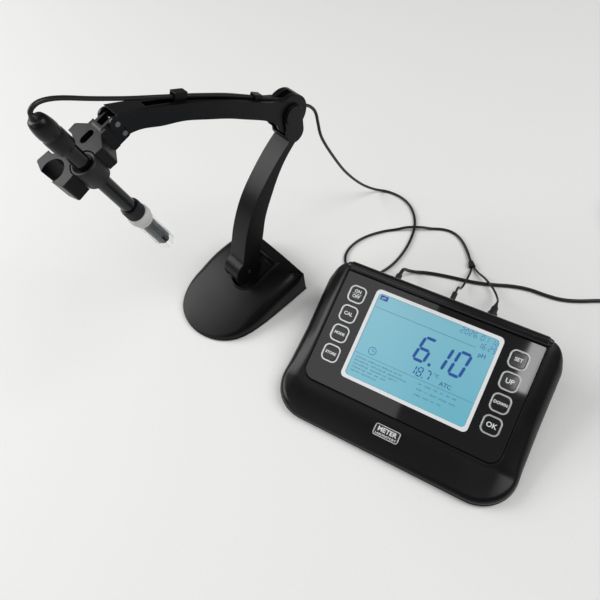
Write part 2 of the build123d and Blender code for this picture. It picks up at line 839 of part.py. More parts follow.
# ------------------------------------------------------------ head and electrode
holder_right = (
    (0, -24), (8, -24), (19, -21), (18, -11), (18.5, 10), (19, 17), (9, 23), (9, 28), (0, 28),
)
holder_outline = list(holder_right)
for right, back in reversed(holder_right[1:-1]):
    holder_outline.append((-right, back))
head_pin_in = in_head(head_pin)
head_link_in = in_head(head_link_pin)
with BuildPart() as electrode_holder:
    with BuildSketch(head_plan) as block:
        with BuildLine():
            Polyline(*holder_outline, close=True)
        make_face()
        fillet(block.vertices().filter_by(lambda v: v.Y < 20), 2.0)
        with Locations((electrode_side, 0), (-electrode_side, 0)):
            Circle(pocket_radius, mode=Mode.SUBTRACT)
        with Locations((0, -18)):
            Circle(9.5, mode=Mode.SUBTRACT)
        with Locations((0, 15.5)):
            SlotOverall(12, 6, rotation=90, mode=Mode.SUBTRACT)
    extrude(amount=-holder_height)
    with BuildSketch(head_side):
        for pin in (head_pin_in, head_link_in):
            middle, length, width, turn = span(pin, (26, pin[1]), 4.2)
            with Locations(middle):
                SlotCenterToCenter(length, width, rotation=turn)
        middle, length, width, turn = span(head_pin_in, head_link_in, 4.2)
        with Locations(middle):
            SlotCenterToCenter(length, width, rotation=turn)
        with Locations((30, (head_pin_in[1] + head_link_in[1]) / 2)):
            Rectangle(10, 12)
    extrude(amount=plate_out, both=True)
    with BuildSketch(head_side):
        with Locations((46, -10)):
            Rectangle(36, 60)
    extrude(amount=plate_in, both=True, mode=Mode.SUBTRACT)
    with BuildSketch(head_side):
        with Locations(head_pin_in, head_link_in):
            Circle(pin_radius)
    extrude(amount=plate_out, both=True, mode=Mode.SUBTRACT)
save(electrode_holder.part, "electrode_holder")

with BuildPart() as head_pins:
    with BuildSketch(stand_side):
        with Locations(head_pin):
            Circle(pin_radius)
    extrude(amount=arm_half + 0.4, both=True)
    with BuildSketch(stand_side):
        with Locations(head_link_pin):
            Circle(pin_radius)
    extrude(amount=plate_out, both=True)
save(head_pins.part, "head_pins")

with BuildPart() as clip_bush:
    with BuildSketch(head_plan):
        with Locations((electrode_side, 0)):
            Circle(pocket_radius)
            Circle(stem_radius, mode=Mode.SUBTRACT)
        with Locations((electrode_side + 9, 0)):
            Rectangle(14, 9, mode=Mode.SUBTRACT)
    extrude(amount=-holder_height)
save(clip_bush.part, "clip_bush")

with BuildPart() as electrode_stem:
    with BuildSketch(electrode.offset(collar_top)):
        Circle(stem_radius)
    extrude(amount=cap_bottom - collar_top)
save(electrode_stem.part, "electrode_stem")

with BuildPart() as electrode_cap:
    with BuildSketch(electrode.offset(cap_bottom)):
        Circle(cap_radius)
    extrude(amount=cap_top - cap_bottom)
    fillet(electrode_cap.edges().filter_by(GeomType.CIRCLE).group_by(Axis.Z)[-1], 4.0)
    fillet(electrode_cap.edges().filter_by(GeomType.CIRCLE).group_by(Axis.Z)[0], 1.0)
save(electrode_cap.part, "electrode_cap")

with BuildPart() as strain_relief:
    with BuildSketch(electrode.offset(cap_top)):
        Circle(2.7)
    extrude(amount=0.8)
save(strain_relief.part, "strain_relief")

with BuildPart() as guard_collar:
    with BuildSketch(electrode.offset(collar_bottom)):
        Circle(collar_radius)
        Circle(guard_inner, mode=Mode.SUBTRACT)
    extrude(amount=collar_top - collar_bottom)
    with BuildSketch(electrode.offset(collar_top)):
        Circle(collar_radius - 0.4)
    extrude(amount=-3.0)
save(guard_collar.part, "guard_collar")

with BuildPart() as seal_ring:
    with BuildSketch(electrode.offset(ring_bottom)):
        Circle(ring_neck)
        Circle(guard_inner, mode=Mode.SUBTRACT)
    extrude(amount=collar_bottom - ring_bottom)
    with BuildSketch(electrode.offset(ring_middle)):
        Circle(ring_radius)
        Circle(guard_inner, mode=Mode.SUBTRACT)
    extrude(amount=collar_bottom - ring_middle)
save(seal_ring.part, "seal_ring")

with BuildPart() as clear_guard:
    with BuildSketch(electrode.offset(electrode_tip)):
        Circle(guard_outer)
        Circle(guard_inner, mode=Mode.SUBTRACT)
    extrude(amount=ring_bottom - electrode_tip)
    with BuildSketch(electrode.offset(electrode_tip)):
        Rectangle(2.6, 30)
        Rectangle(30, 2.6)
    extrude(amount=16, mode=Mode.SUBTRACT)
save(clear_guard.part, "clear_guard")

with BuildPart() as glass_bulb:
    with BuildSketch(electrode.offset(electrode_tip + inner_above_tip)):
        Circle(inner_radius)
    extrude(amount=collar_top - 3.0 - electrode_tip - inner_above_tip)
    with BuildSketch(electrode.offset(electrode_tip + bulb_above_tip)):
        Circle(bulb_radius)
    extrude(amount=inner_above_tip - bulb_above_tip)
save(glass_bulb.part, "glass_bulb")

# ------------------------------------------------------------ leads
lead_rest = lead_diameter / 2 + 0.05
thin_rest = thin_diameter / 2 + 0.05
power_rest = power_diameter / 2 + 0.05
over_lead = lead_diameter * 1.5 + 0.5
over_power = power_diameter + thin_diameter / 2 + 0.5


def bend_radii(points, share=0.45):
    """One radius for each corner of a lead: a share of its shorter run."""
    radii = []
    for before, corner, after in zip(points, points[1:], points[2:]):
        come = [c - b for b, c in zip(before, corner)]
        go = [a - c for c, a in zip(corner, after)]
        come_run = sum(v * v for v in come) ** 0.5
        go_run = sum(v * v for v in go) ** 0.5
        turn = acos(min(1.0, sum(a * b for a, b in zip(come, go)) / come_run / go_run))
        radii.append(share * min(come_run, go_run) / tan(turn / 2))
    return radii


slot_end = (0, -80, 291.9)
drum_top = (0, 34, 221.4)
landing = (-152.5, 206.5, 16)
cap_route = [
    stand_point(*point)
    for point in (
        (16, head_origin[0] - 47.8 * head_sin, head_origin[1] + 47.8 * head_cos),
        (16, head_origin[0] - 50.2 * head_sin, head_origin[1] + 50.2 * head_cos),
        (16, -157.6, 337.0), (15.8, -155.2, 338.5), (15.3, -150.5, 339.0),
        (14.3, -143.6, 336.6), (12.3, -134.5, 330.8), (8.5, -119.5, 319.0),
        (3.0, -98.5, 303.7), (0, -87.1, 295.7), slot_end,
    )
]
arm_route = [
    stand_point(*point)
    for point in (
        slot_end, (0, -65.4, 284.1), (0, -37.2, 268.4), (0, -8, 250.6), (0, 12, 236.9),
        (0, 26, 226.6), drum_top,
    )
]
hanging_route = [
    stand_point(*point)
    for point in (
        drum_top, (0, 42, 216.2), (0, 50, 214.0), (0, 56.8, 208.4), (0.2, 62, 201.2),
        (0.3, 66.5, 195.5),
    )
] + [
    console_point(*point)
    for point in (
        (-181.2, 130.5, 189.5), (-179.2, 136.5, 179.5), (-178.6, 137.8, 165),
        (-178.2, 139.5, 148), (-176.5, 145.5, 130), (-173, 154.5, 107), (-168, 167, 77),
        (-162, 182, 50), (-156.4, 198.5, 25.5), landing,
    )
]
table_route = [
    console_point(*point)
    for point in (
        landing, (-149.15, 213.38, 7.83), (-143.8, 219.3, 2.6), (-134, 222.4, lead_rest),
        (-117, 221.2, lead_rest), (-101.5, 214.5, lead_rest), (-88.5, 201.5, lead_rest),
        (-80, 185, lead_rest), (-76.5, 168, lead_rest), (-75.5, 145, lead_rest),
        (-79, 122, lead_rest), (-86.5, 104.5, lead_rest), (-97, 92.5, lead_rest),
        (-111, 87.5, lead_rest), (-125, 90.5, lead_rest), (-135, 100.5, lead_rest),
        (-138.5, 114, lead_rest), (-135, 131, lead_rest), (-125, 147, lead_rest),
        (-110, 161.5, lead_rest), (-97.5, 169.8, lead_rest), (-87.5, 175.2, over_lead),
        (-70.5, 183.0, over_lead), (-61, 187.8, lead_rest), (-50, 192.6, lead_rest),
        (-38, 194.4, lead_rest), (-25.5, 190.2, lead_rest), (-14, 179.5, lead_rest),
        (-5.2, 167.6, 2.5), (-0.9, 160.8, 2.5),
    )
]
split_dir = (0.534, -0.845)
probe_route = [
    console_point(*point)
    for point in (
        (3.0, 153.0, 2.3), (4.4, 147.0, 2.6), (4.6, 140.0, over_power), (4.2, 127.5, over_power),
        (3.6, 119.5, 6.6), (2.8, 112.5, 13.5), (2.2, 108.0, 22.0), (2.0, 102.5, socket_z),
        (2.0, 94.0, socket_z),
    )
]
bnc_route = [
    console_point(*point)
    for point in (
        (5.3, 154.6, 2.3), (12, 149.2, 2.4), (21, 143.8, over_power), (32.5, 135.8, over_power),
        (40.0, 127.5, 6.5), (43.8, 117.5, 12.5), (44.8, 109.5, 22.0), (45.0, 102.5, socket_z),
        (45.0, 94.0, socket_z),
    )
]
coil_out = coil_radius + (coil_layers - 1) / 2 * power_diameter - 0.6
enter = radians(300)
enter_dir = (-sin(enter), cos(enter))
tail = 18.0
coil_touch = (
    coil_middle[0] + coil_out * cos(enter) - tail * enter_dir[0],
    coil_middle[1] + coil_out * sin(enter) - tail * enter_dir[1],
)
power_route = [
    console_point(*point)
    for point in (
        (-62, 94, jack_z), (-62, 101.5, jack_z), (-61.4, 108, 18.0), (-58.8, 113.8, 9.0),
        (-52.5, 119.2, 3.2), (-43.5, 123.8, power_rest), (-30, 127.6, power_rest),
        (-11, 131.2, power_rest), (11, 134.6, power_rest), (31, 140.4, power_rest),
        (50, 148.0, power_rest), (69, 152.4, power_rest), (88, 152.0, power_rest),
        (105, 153.6, power_rest), (121, 159.6, power_rest), (139, 169.3, power_rest),
        (156, 177.0, power_rest),
        (coil_touch[0] - 14 * enter_dir[0], coil_touch[1] - 14 * enter_dir[1], power_rest),
        (coil_touch[0], coil_touch[1], power_rest),
    )
]
tubes = {
    "lead_at_cap": (lead_diameter, cap_route),
    "lead_in_arm": (lead_diameter, arm_route),
    "lead_hanging": (lead_diameter, hanging_route),
    "lead_on_table": (lead_diameter, table_route),
    "power_lead": (power_diameter, power_route),
    "probe_lead": (thin_diameter, probe_route),
    "bnc_lead": (thin_diameter, bnc_route),
}
tube_parts = {}
for name, (diameter, route) in tubes.items():
    radii = bend_radii(route)
    with BuildPart() as tube:
        with BuildLine() as path:
            FilletPolyline(*route, radius=radii)
        with BuildSketch(Plane(origin=path.wire() @ 0, z_dir=path.wire() % 0)):
            Circle(diameter / 2)
        sweep()
    tube_parts[name] = tube.part
    length = path.wire().length
    ideal = pi * diameter**2 / 4 * length
    print(name, "length", round(length, 1), "volume ratio",
          round(tube.part.volume / ideal, 4), "radii", [round(r, 1) for r in radii])

for name in ("lead_at_cap", "lead_in_arm", "lead_hanging", "lead_on_table", "power_lead"):
    save(tube_parts[name], name)

with BuildPart() as thin_leads:
    add(tube_parts["probe_lead"])
    add(tube_parts["bnc_lead"])
save(thin_leads.part, "thin_leads")

splitter_origin = console_point(-0.9, 160.8, 2.5)
with BuildPart() as lead_splitter:
    with BuildSketch(Plane(origin=splitter_origin, x_dir=(0, 0, 1), z_dir=(split_dir[0], split_dir[1], 0))):
        RectangleRounded(4.6, 5.0, 1.5)
    with BuildSketch(
        Plane(
            origin=(splitter_origin[0] + 8 * split_dir[0], splitter_origin[1] + 8 * split_dir[1], 2.5),
            x_dir=(0, 0, 1),
            z_dir=(split_dir[0], split_dir[1], 0),
        )
    ):
        RectangleRounded(4.6, 8.0, 1.5)
    loft()
save(lead_splitter.part, "lead_splitter")

with BuildPart() as bnc_plug:
    with BuildSketch(back_wall.offset(-2.0)):
        with Locations((bnc_x, socket_z)):
            Circle(7.2)
    extrude(amount=-18)
    with BuildSketch(back_wall.offset(-20.0)):
        with Locations((bnc_x, socket_z)):
            Circle(4.8)
    extrude(amount=-7)
    with BuildSketch(back_wall.offset(-27.0)):
        with Locations((bnc_x, socket_z)):
            Circle(3.4)
    extrude(amount=-7)
    with BuildSketch(back_wall):
        with Locations((bnc_x, socket_z)):
            Circle(4.5)
    extrude(amount=-12, mode=Mode.SUBTRACT)
save(bnc_plug.part, "bnc_plug")

with BuildPart() as probe_plug:
    with BuildSketch(back_wall.offset(-2.5)):
        with Locations((probe_x, socket_z)):
            Circle(5.2)
    extrude(amount=-20)
    with BuildSketch(back_wall.offset(-22.5)):
        with Locations((probe_x, socket_z)):
            Circle(2.8)
    extrude(amount=-11.5)
save(probe_plug.part, "probe_plug")

with BuildPart() as power_plug:
    with BuildSketch(back_wall.offset(-2.0)):
        with Locations((power_x, jack_z)):
            Circle(5.0)
    extrude(amount=-22)
    with BuildSketch(back_wall.offset(-24.0)):
        with Locations((power_x, jack_z)):
            Circle(3.4)
    extrude(amount=-10)
save(power_plug.part, "power_plug")

coil_half = coil_layers * power_diameter / 2
coil_height = coil_stack * power_diameter
leave = radians(30)
leave_dir = (-sin(leave), cos(leave))
leave_spot = (coil_middle[0] + coil_radius * cos(leave), coil_middle[1] + coil_radius * sin(leave))
coil_plane = Plane(origin=console_point(coil_middle[0], coil_middle[1], 0), z_dir=(0, 0, 1))
with BuildPart() as power_coil:
    with BuildSketch(coil_plane):
        Circle(coil_radius + coil_half)
        Circle(coil_radius - coil_half, mode=Mode.SUBTRACT)
    extrude(amount=coil_height)
    chamfer(power_coil.edges().filter_by(GeomType.CIRCLE), 1.2)
    with BuildSketch(Plane(
        origin=console_point(coil_touch[0], coil_touch[1], power_rest),
        z_dir=(enter_dir[0], enter_dir[1], 0),
    )):
        Circle(power_diameter / 2)
    extrude(amount=tail + 3)
    with BuildSketch(Plane(
        origin=console_point(leave_spot[0], leave_spot[1], coil_height - power_rest),
        z_dir=(leave_dir[0], leave_dir[1], 0),
    )):
        Circle(power_diameter / 2)
    extrude(amount=34)
save(power_coil.part, "power_coil")

tie_turn = radians(200)
with BuildPart() as coil_tie:
    with BuildSketch(Plane(
        origin=console_point(
            coil_middle[0] + coil_radius * cos(tie_turn),
            coil_middle[1] + coil_radius * sin(tie_turn),
            coil_height / 2,
        ),
        x_dir=(cos(tie_turn), sin(tie_turn), 0),
        z_dir=(-sin(tie_turn), cos(tie_turn), 0),
    )):
        RectangleRounded(2 * coil_half + 2.6, coil_height + 2.6, 2.5)
        RectangleRounded(2 * coil_half + 0.8, coil_height + 0.8, 2.0, mode=Mode.SUBTRACT)
    extrude(amount=2.5, both=True)
    with BuildSketch(Plane.XY.offset(-5)):
        Rectangle(900, 900)
    extrude(amount=5, mode=Mode.SUBTRACT)
    with Locations(console_point(
        coil_middle[0] + coil_radius * cos(tie_turn),
        coil_middle[1] + coil_radius * sin(tie_turn),
        coil_height + 2.4,
    )):
        Box(6, 5, 2.6)
save(coil_tie.part, "coil_tie")

adapter_spot = (leave_spot[0] + 34 * leave_dir[0], leave_spot[1] + 34 * leave_dir[1])
with BuildPart() as adapter:
    with BuildSketch(Plane(
        origin=console_point(adapter_spot[0], adapter_spot[1], 0),
        x_dir=(cos(leave), sin(leave), 0),
        z_dir=(0, 0, 1),
    )) as case_plan:
        with Locations((0, 8 + 32)):
            RectangleRounded(44, 64, 5)
    extrude(amount=30)
    with BuildSketch(Plane(
        origin=console_point(adapter_spot[0], adapter_spot[1], coil_height - power_rest),
        z_dir=(leave_dir[0], leave_dir[1], 0),
    )):
        Circle(3.6)
    extrude(amount=8)
    with BuildSketch(Plane(
        origin=console_point(
            adapter_spot[0] + 72 * leave_dir[0], adapter_spot[1] + 72 * leave_dir[1], 15
        ),
        x_dir=(cos(leave), sin(leave), 0),
        z_dir=(leave_dir[0], leave_dir[1], 0),
    )):
        with Locations((-9.5, 0), (9.5, 0)):
            Circle(2.0)
    extrude(amount=18)
save(adapter.part, "adapter")

count = len([name for name in os.listdir("parts") if name.endswith(".step")])
print("pieces", count)
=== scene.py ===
"""Looks for the bench pH meter: materials, moulded shells, screen graphics, leads, light and camera."""
import json
from math import atan2, cos, hypot, pi, radians, sin, tan

import bpy
import numpy as np
from mathutils import Matrix, Vector


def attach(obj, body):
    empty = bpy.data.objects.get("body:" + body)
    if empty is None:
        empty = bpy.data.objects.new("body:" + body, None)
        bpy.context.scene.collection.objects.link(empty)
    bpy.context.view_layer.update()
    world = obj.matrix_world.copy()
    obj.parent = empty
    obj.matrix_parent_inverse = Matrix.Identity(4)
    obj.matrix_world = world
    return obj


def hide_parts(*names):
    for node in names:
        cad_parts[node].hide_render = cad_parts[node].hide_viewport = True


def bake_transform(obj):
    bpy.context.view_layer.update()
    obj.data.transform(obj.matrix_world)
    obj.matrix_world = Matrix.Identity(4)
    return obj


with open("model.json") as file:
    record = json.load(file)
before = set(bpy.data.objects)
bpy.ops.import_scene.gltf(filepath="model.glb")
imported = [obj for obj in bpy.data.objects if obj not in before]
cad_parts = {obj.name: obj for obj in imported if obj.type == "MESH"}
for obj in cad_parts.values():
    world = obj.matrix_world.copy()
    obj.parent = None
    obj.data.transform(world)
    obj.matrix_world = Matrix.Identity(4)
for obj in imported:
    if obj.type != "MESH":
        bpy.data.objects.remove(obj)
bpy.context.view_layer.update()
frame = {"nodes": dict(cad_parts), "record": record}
nodes = frame["nodes"]
MM = 0.001

# ------------------------------------------------------------ the CAD model's own frames, in millimetres
CX, CY = 80.074, -8.964                       # origin of the console and of its panel, in plan
TILT = radians(22.0)                          # the panel's slope
TC, TS, TT = cos(TILT), sin(TILT), tan(TILT)
SCREEN_Z = 20.0 + 64.6 * TS                   # height of the panel's origin
SKIN_DROP = 0.8 / TC                          # the shell's top lies this far under the panel's plane
CREASE_Y = -62.0                              # where the slope meets the flatter front deck
DECK_FALL, DECK_RUN = 4.6, 30.0               # the deck falls this much over this run
SX, SY = CX - 203.5, CY + 60.1                # origin of the stand: the middle of its base's back edge
YAW = radians(17.56)                          # the stand's turn from the console
RIGHT = np.array((cos(YAW), -sin(YAW), 0.0))
BACK = np.array((sin(YAW), cos(YAW), 0.0))
LEAN = radians(14.5)                          # the electrode's lean
GRIP_P, GRIP_D, GRIP_Z = 16.0, -146.1, 286.4  # the electrode's origin, from the stand


def rows(x, y, z):
    """Points as rows, from numbers or arrays of their three coordinates."""
    return np.stack(np.broadcast_arrays(x, y, z), axis=-1)


def on_face(u, v, n=0.0):
    """Points on the console's panel: right, up the slope, out of it."""
    return rows(CX + u, CY + v * TC - n * TS, SCREEN_Z + v * TS + n * TC)


def stand_point(p, d, z):
    """Points from the stand's right, back and up."""
    return rows(SX + p * RIGHT[0] + d * BACK[0], SY + p * RIGHT[1] + d * BACK[1], z)


def console_point(x, y, z):
    """Points from the console's right, back and up."""
    return rows(CX + x, CY + y, z)


def electrode_point(radius, angle, rise):
    """Points at a radius and angle round the electrode's leaning axis, and a rise along it."""
    across = radius * np.sin(angle)
    d = GRIP_D + across * cos(LEAN) - rise * sin(LEAN)
    z = GRIP_Z + across * sin(LEAN) + rise * cos(LEAN)
    return stand_point(GRIP_P + radius * np.cos(angle), d, z)


def metres(point):
    """One millimetre point as a list in metres."""
    return [c * MM for c in point]


# ------------------------------------------------------------ shader groups
def socket(group, name, kind, side, value=None):
    """One socket of a shader group, with its default value if it has one."""
    made = group.interface.new_socket(name, in_out=side, socket_type=kind)
    if value is not None:
        made.default_value = value
    return made


def fine_grain_group():
    """Moulded plastic's grain: a tone from slow and fine noise, a normal with softened edges, and a mask of
    those edges for a painted highlight.
    """
    g = bpy.data.node_groups.new("fine_grain", "ShaderNodeTree")
    socket(g, "Scale", "NodeSocketFloat", "INPUT", 900.0)
    socket(g, "Depth", "NodeSocketFloat", "INPUT", 0.15)
    socket(g, "Edge", "NodeSocketFloat", "INPUT", 0.0006)
    socket(g, "Tone", "NodeSocketFloat", "OUTPUT")
    # mask of the edges, used for a painted highlight
    socket(g, "Painted Highlight", "NodeSocketFloat", "OUTPUT")
    socket(g, "Normal", "NodeSocketVector", "OUTPUT")
    n, l = g.nodes, g.links
    gin, gout = n.new("NodeGroupInput"), n.new("NodeGroupOutput")
    where = n.new("ShaderNodeTexCoord")
    fine = n.new("ShaderNodeTexNoise")
    fine.inputs["Detail"].default_value = 3.0
    slow = n.new("ShaderNodeTexNoise")
    slow.inputs["Scale"].default_value = 14.0
    slow.inputs["Detail"].default_value = 4.0
    bevel = n.new("ShaderNodeBevel")
    bevel.samples = 6
    bump = n.new("ShaderNodeBump")
    bump.inputs["Distance"].default_value = 0.0002
    geometry = n.new("ShaderNodeNewGeometry")
    split = n.new("ShaderNodeVectorMath")
    split.operation = "DOT_PRODUCT"
    # painted highlight: the mask rises from 0 on flat faces to 1 where the softened normal turns away from
    # the true one
    painted_highlight = n.new("ShaderNodeMapRange")
    painted_highlight.inputs["From Min"].default_value = 0.999
    painted_highlight.inputs["From Max"].default_value = 0.90
    l.new(where.outputs["Object"], fine.inputs["Vector"])
    l.new(where.outputs["Object"], slow.inputs["Vector"])
    l.new(gin.outputs["Scale"], fine.inputs["Scale"])
    l.new(gin.outputs["Edge"], bevel.inputs["Radius"])
    l.new(bevel.outputs["Normal"], bump.inputs["Normal"])
    l.new(fine.outputs["Fac"], bump.inputs["Height"])
    l.new(gin.outputs["Depth"], bump.inputs["Strength"])
    l.new(bevel.outputs["Normal"], split.inputs[0])
    l.new(geometry.outputs["Normal"], split.inputs[1])
    l.new(split.outputs["Value"], painted_highlight.inputs["Value"])
    l.new(slow.outputs["Fac"], gout.inputs["Tone"])
    l.new(painted_highlight.outputs["Result"], gout.inputs["Painted Highlight"])
    l.new(bump.outputs["Normal"], gout.inputs["Normal"])
    return g


GRAIN = fine_grain_group()


def moulded(name, low, high, rough, grain=900.0, depth=0.15, edge=0.0006, metal=0.0, coat=0.0,
            transmission=0.0, spec=0.5, ior=1.46):
    """A moulded or plated finish: two close tones, grain in its normal, edges whose softened normals catch
    light, and a painted highlight that lightens their colour.
    """
    m = bpy.data.materials.new(name)
    m.use_nodes = True
    n, l = m.node_tree.nodes, m.node_tree.links
    shader = n["Principled BSDF"]
    group = n.new("ShaderNodeGroup")
    group.node_tree = GRAIN
    group.inputs["Scale"].default_value = grain
    group.inputs["Depth"].default_value = depth
    group.inputs["Edge"].default_value = edge
    ramp = n.new("ShaderNodeMix")
    ramp.data_type = "RGBA"
    ramp.inputs["A"].default_value = (*low, 1)
    ramp.inputs["B"].default_value = (*high, 1)
    l.new(group.outputs["Tone"], ramp.inputs["Factor"])
    # painted highlight: the edges' colour is lightened to 1.8 times the high tone, at half the mask's
    # strength
    edge_mix = n.new("ShaderNodeMix")
    edge_mix.data_type = "RGBA"
    edge_mix.inputs["B"].default_value = (*[min(1.0, c * 1.8 + 0.004) for c in high], 1)
    soften = n.new("ShaderNodeMath")
    soften.operation = "MULTIPLY"
    soften.inputs[1].default_value = 0.5
    l.new(group.outputs["Painted Highlight"], soften.inputs[0])
    l.new(soften.outputs[0], edge_mix.inputs["Factor"])
    l.new(ramp.outputs["Result"], edge_mix.inputs["A"])
    l.new(edge_mix.outputs["Result"], shader.inputs["Base Color"])
    span = n.new("ShaderNodeMapRange")
    span.inputs["From Min"].default_value = 0.3
    span.inputs["From Max"].default_value = 0.7
    span.inputs["To Min"].default_value = rough * 0.88
    span.inputs["To Max"].default_value = rough * 1.12
    l.new(group.outputs["Tone"], span.inputs["Value"])
    l.new(span.outputs["Result"], shader.inputs["Roughness"])
    l.new(group.outputs["Normal"], shader.inputs["Normal"])
    for key, value in (("Metallic", metal), ("Coat Weight", coat), ("Coat Roughness", 0.05),
                       ("Transmission Weight", transmission), ("Specular IOR Level", spec), ("IOR", ior)):
        shader.inputs[key].default_value = value
    return m


# each finish: its two tones and roughness, then its grain's scale and depth and its edges' radius in metres
FINISHES = {
    "shell_black": dict(low=(0.0028, 0.0026, 0.0033), high=(0.0042, 0.0039, 0.0048),
                        rough=0.30, grain=1400, depth=0.10, spec=0.25),
    "hood_grey": dict(low=(0.004, 0.004, 0.005), high=(0.006, 0.006, 0.007),
                      rough=0.20, grain=1400, depth=0.05),
    "tray_dark": dict(low=(0.006, 0.006, 0.007), high=(0.008, 0.008, 0.009),
                      rough=0.5, grain=1200, depth=0.1, edge=0.0003),
    "overlay_grey": dict(low=(0.0055, 0.0056, 0.0066), high=(0.0075, 0.0076, 0.0088),
                         rough=0.045, grain=500, depth=0.004, edge=0.0002, coat=0.3),
    "white_trim": dict(low=(0.72, 0.74, 0.76), high=(0.80, 0.82, 0.83),
                       rough=0.3, grain=900, depth=0.03, edge=0.0002),
    "white_plastic": dict(low=(0.68, 0.70, 0.72), high=(0.76, 0.78, 0.8),
                          rough=0.5, grain=700, depth=0.1, edge=0.0003),
    "board_green": dict(low=(0.02, 0.11, 0.05), high=(0.03, 0.17, 0.07),
                        rough=0.45, grain=300, depth=0.1, edge=0.0002),
    "rubber_grey": dict(low=(0.15, 0.15, 0.15), high=(0.2, 0.2, 0.2),
                        rough=0.7, grain=1500, depth=0.2, edge=0.0003),
    "rubber_black": dict(low=(0.005, 0.005, 0.0055), high=(0.008, 0.008, 0.0085),
                         rough=0.55, grain=1500, depth=0.25, edge=0.0005),
    "silver_trim": dict(low=(0.66, 0.67, 0.68), high=(0.78, 0.79, 0.8),
                        rough=0.3, grain=1200, depth=0.05, edge=0.0002, metal=0.85),
    "key_black": dict(low=(0.006, 0.006, 0.007), high=(0.008, 0.008, 0.009),
                      rough=0.12, grain=900, depth=0.03, edge=0.0004, coat=0.4),
    "nickel": dict(low=(0.52, 0.51, 0.48), high=(0.64, 0.63, 0.60),
                   rough=0.25, grain=1500, depth=0.08, edge=0.0003, metal=1.0),
    "zinc_steel": dict(low=(0.14, 0.14, 0.145), high=(0.2, 0.2, 0.2),
                       rough=0.35, grain=2000, depth=0.12, edge=0.0002, metal=1.0),
    "stand_black": dict(low=(0.0030, 0.0029, 0.0036), high=(0.0046, 0.0044, 0.0054),
                        rough=0.32, grain=1600, depth=0.12, edge=0.0008, spec=0.2),
    "link_black": dict(low=(0.003, 0.003, 0.0035), high=(0.005, 0.005, 0.0055),
                       rough=0.38, grain=1400, depth=0.1, edge=0.0004),
    "cast_weight": dict(low=(0.05, 0.05, 0.052), high=(0.09, 0.09, 0.09),
                        rough=0.7, grain=500, depth=0.5, edge=0.0006),
    "cap_black": dict(low=(0.003, 0.003, 0.0035), high=(0.005, 0.005, 0.0055),
                      rough=0.36, grain=1300, depth=0.1, edge=0.0004, spec=0.28),
    "stem_black": dict(low=(0.0025, 0.0025, 0.003), high=(0.004, 0.004, 0.0045),
                       rough=0.18, grain=900, depth=0.03, edge=0.0002, spec=0.35),
    "inner_black": dict(low=(0.003, 0.003, 0.0035), high=(0.005, 0.005, 0.0055),
                        rough=0.12, grain=900, depth=0.0, edge=0.0003),
    "seal_white": dict(low=(0.60, 0.60, 0.58), high=(0.72, 0.72, 0.70),
                       rough=0.4, grain=900, depth=0.06, edge=0.0003, transmission=0.15),
    "guard_clear": dict(low=(0.90, 0.92, 0.93), high=(0.95, 0.96, 0.97),
                        rough=0.03, grain=400, depth=0.0, edge=0.0001, transmission=0.96, ior=1.22),
    "lead_black": dict(low=(0.004, 0.004, 0.0045), high=(0.007, 0.007, 0.0075),
                       rough=0.42, grain=1800, depth=0.12, edge=0.0002),
    "adapter_black": dict(low=(0.005, 0.005, 0.0055), high=(0.008, 0.008, 0.0085),
                          rough=0.45, grain=1300, depth=0.2, edge=0.0008),
}
FINISH = {name: moulded(name, **values) for name, values in FINISHES.items()}


def plain(name, color, rough=0.5, glow=0.0):
    """A printed ink: one tone with a little mottling."""
    m = bpy.data.materials.new(name)
    m.use_nodes = True
    n, l = m.node_tree.nodes, m.node_tree.links
    shader = n["Principled BSDF"]
    where = n.new("ShaderNodeTexCoord")
    noise = n.new("ShaderNodeTexNoise")
    noise.inputs["Scale"].default_value = 600.0
    mix = n.new("ShaderNodeMix")
    mix.data_type = "RGBA"
    mix.inputs["A"].default_value = (*[c * 0.92 for c in color], 1)
    mix.inputs["B"].default_value = (*color, 1)
    l.new(where.outputs["Object"], noise.inputs["Vector"])
    l.new(noise.outputs["Fac"], mix.inputs["Factor"])
    l.new(mix.outputs["Result"], shader.inputs["Base Color"])
    shader.inputs["Roughness"].default_value = rough
    if glow:
        l.new(mix.outputs["Result"], shader.inputs["Emission Color"])
        shader.inputs["Emission Strength"].default_value = glow
    return m


def lcd_lit():
    """The backlit screen: pale blue at its left and top, deeper at its lower right."""
    m = bpy.data.materials.new("lcd_lit")
    m.use_nodes = True
    n, l = m.node_tree.nodes, m.node_tree.links
    shader = n["Principled BSDF"]
    where = n.new("ShaderNodeTexCoord")
    apart = n.new("ShaderNodeSeparateXYZ")
    across = n.new("ShaderNodeMapRange")
    across.inputs["From Min"].default_value = (CX - 60) * MM
    across.inputs["From Max"].default_value = (CX + 60) * MM
    down = n.new("ShaderNodeMapRange")
    down.inputs["From Min"].default_value = (CY + 42) * MM
    down.inputs["From Max"].default_value = (CY - 42) * MM
    total = n.new("ShaderNodeMath")
    total.operation = "ADD"
    half = n.new("ShaderNodeMath")
    half.operation = "MULTIPLY"
    half.inputs[1].default_value = 0.5
    mix = n.new("ShaderNodeMix")
    mix.data_type = "RGBA"
    mix.inputs["A"].default_value = (0.185, 0.40, 0.485, 1)
    mix.inputs["B"].default_value = (0.115, 0.355, 0.45, 1)
    l.new(where.outputs["Object"], apart.inputs[0])
    l.new(apart.outputs["X"], across.inputs["Value"])
    l.new(apart.outputs["Y"], down.inputs["Value"])
    l.new(across.outputs["Result"], total.inputs[0])
    l.new(down.outputs["Result"], total.inputs[1])
    l.new(total.outputs[0], half.inputs[0])
    l.new(half.outputs[0], mix.inputs["Factor"])
    l.new(mix.outputs["Result"], shader.inputs["Base Color"])
    l.new(mix.outputs["Result"], shader.inputs["Emission Color"])
    shader.inputs["Emission Strength"].default_value = 0.32
    shader.inputs["Roughness"].default_value = 0.22
    return m


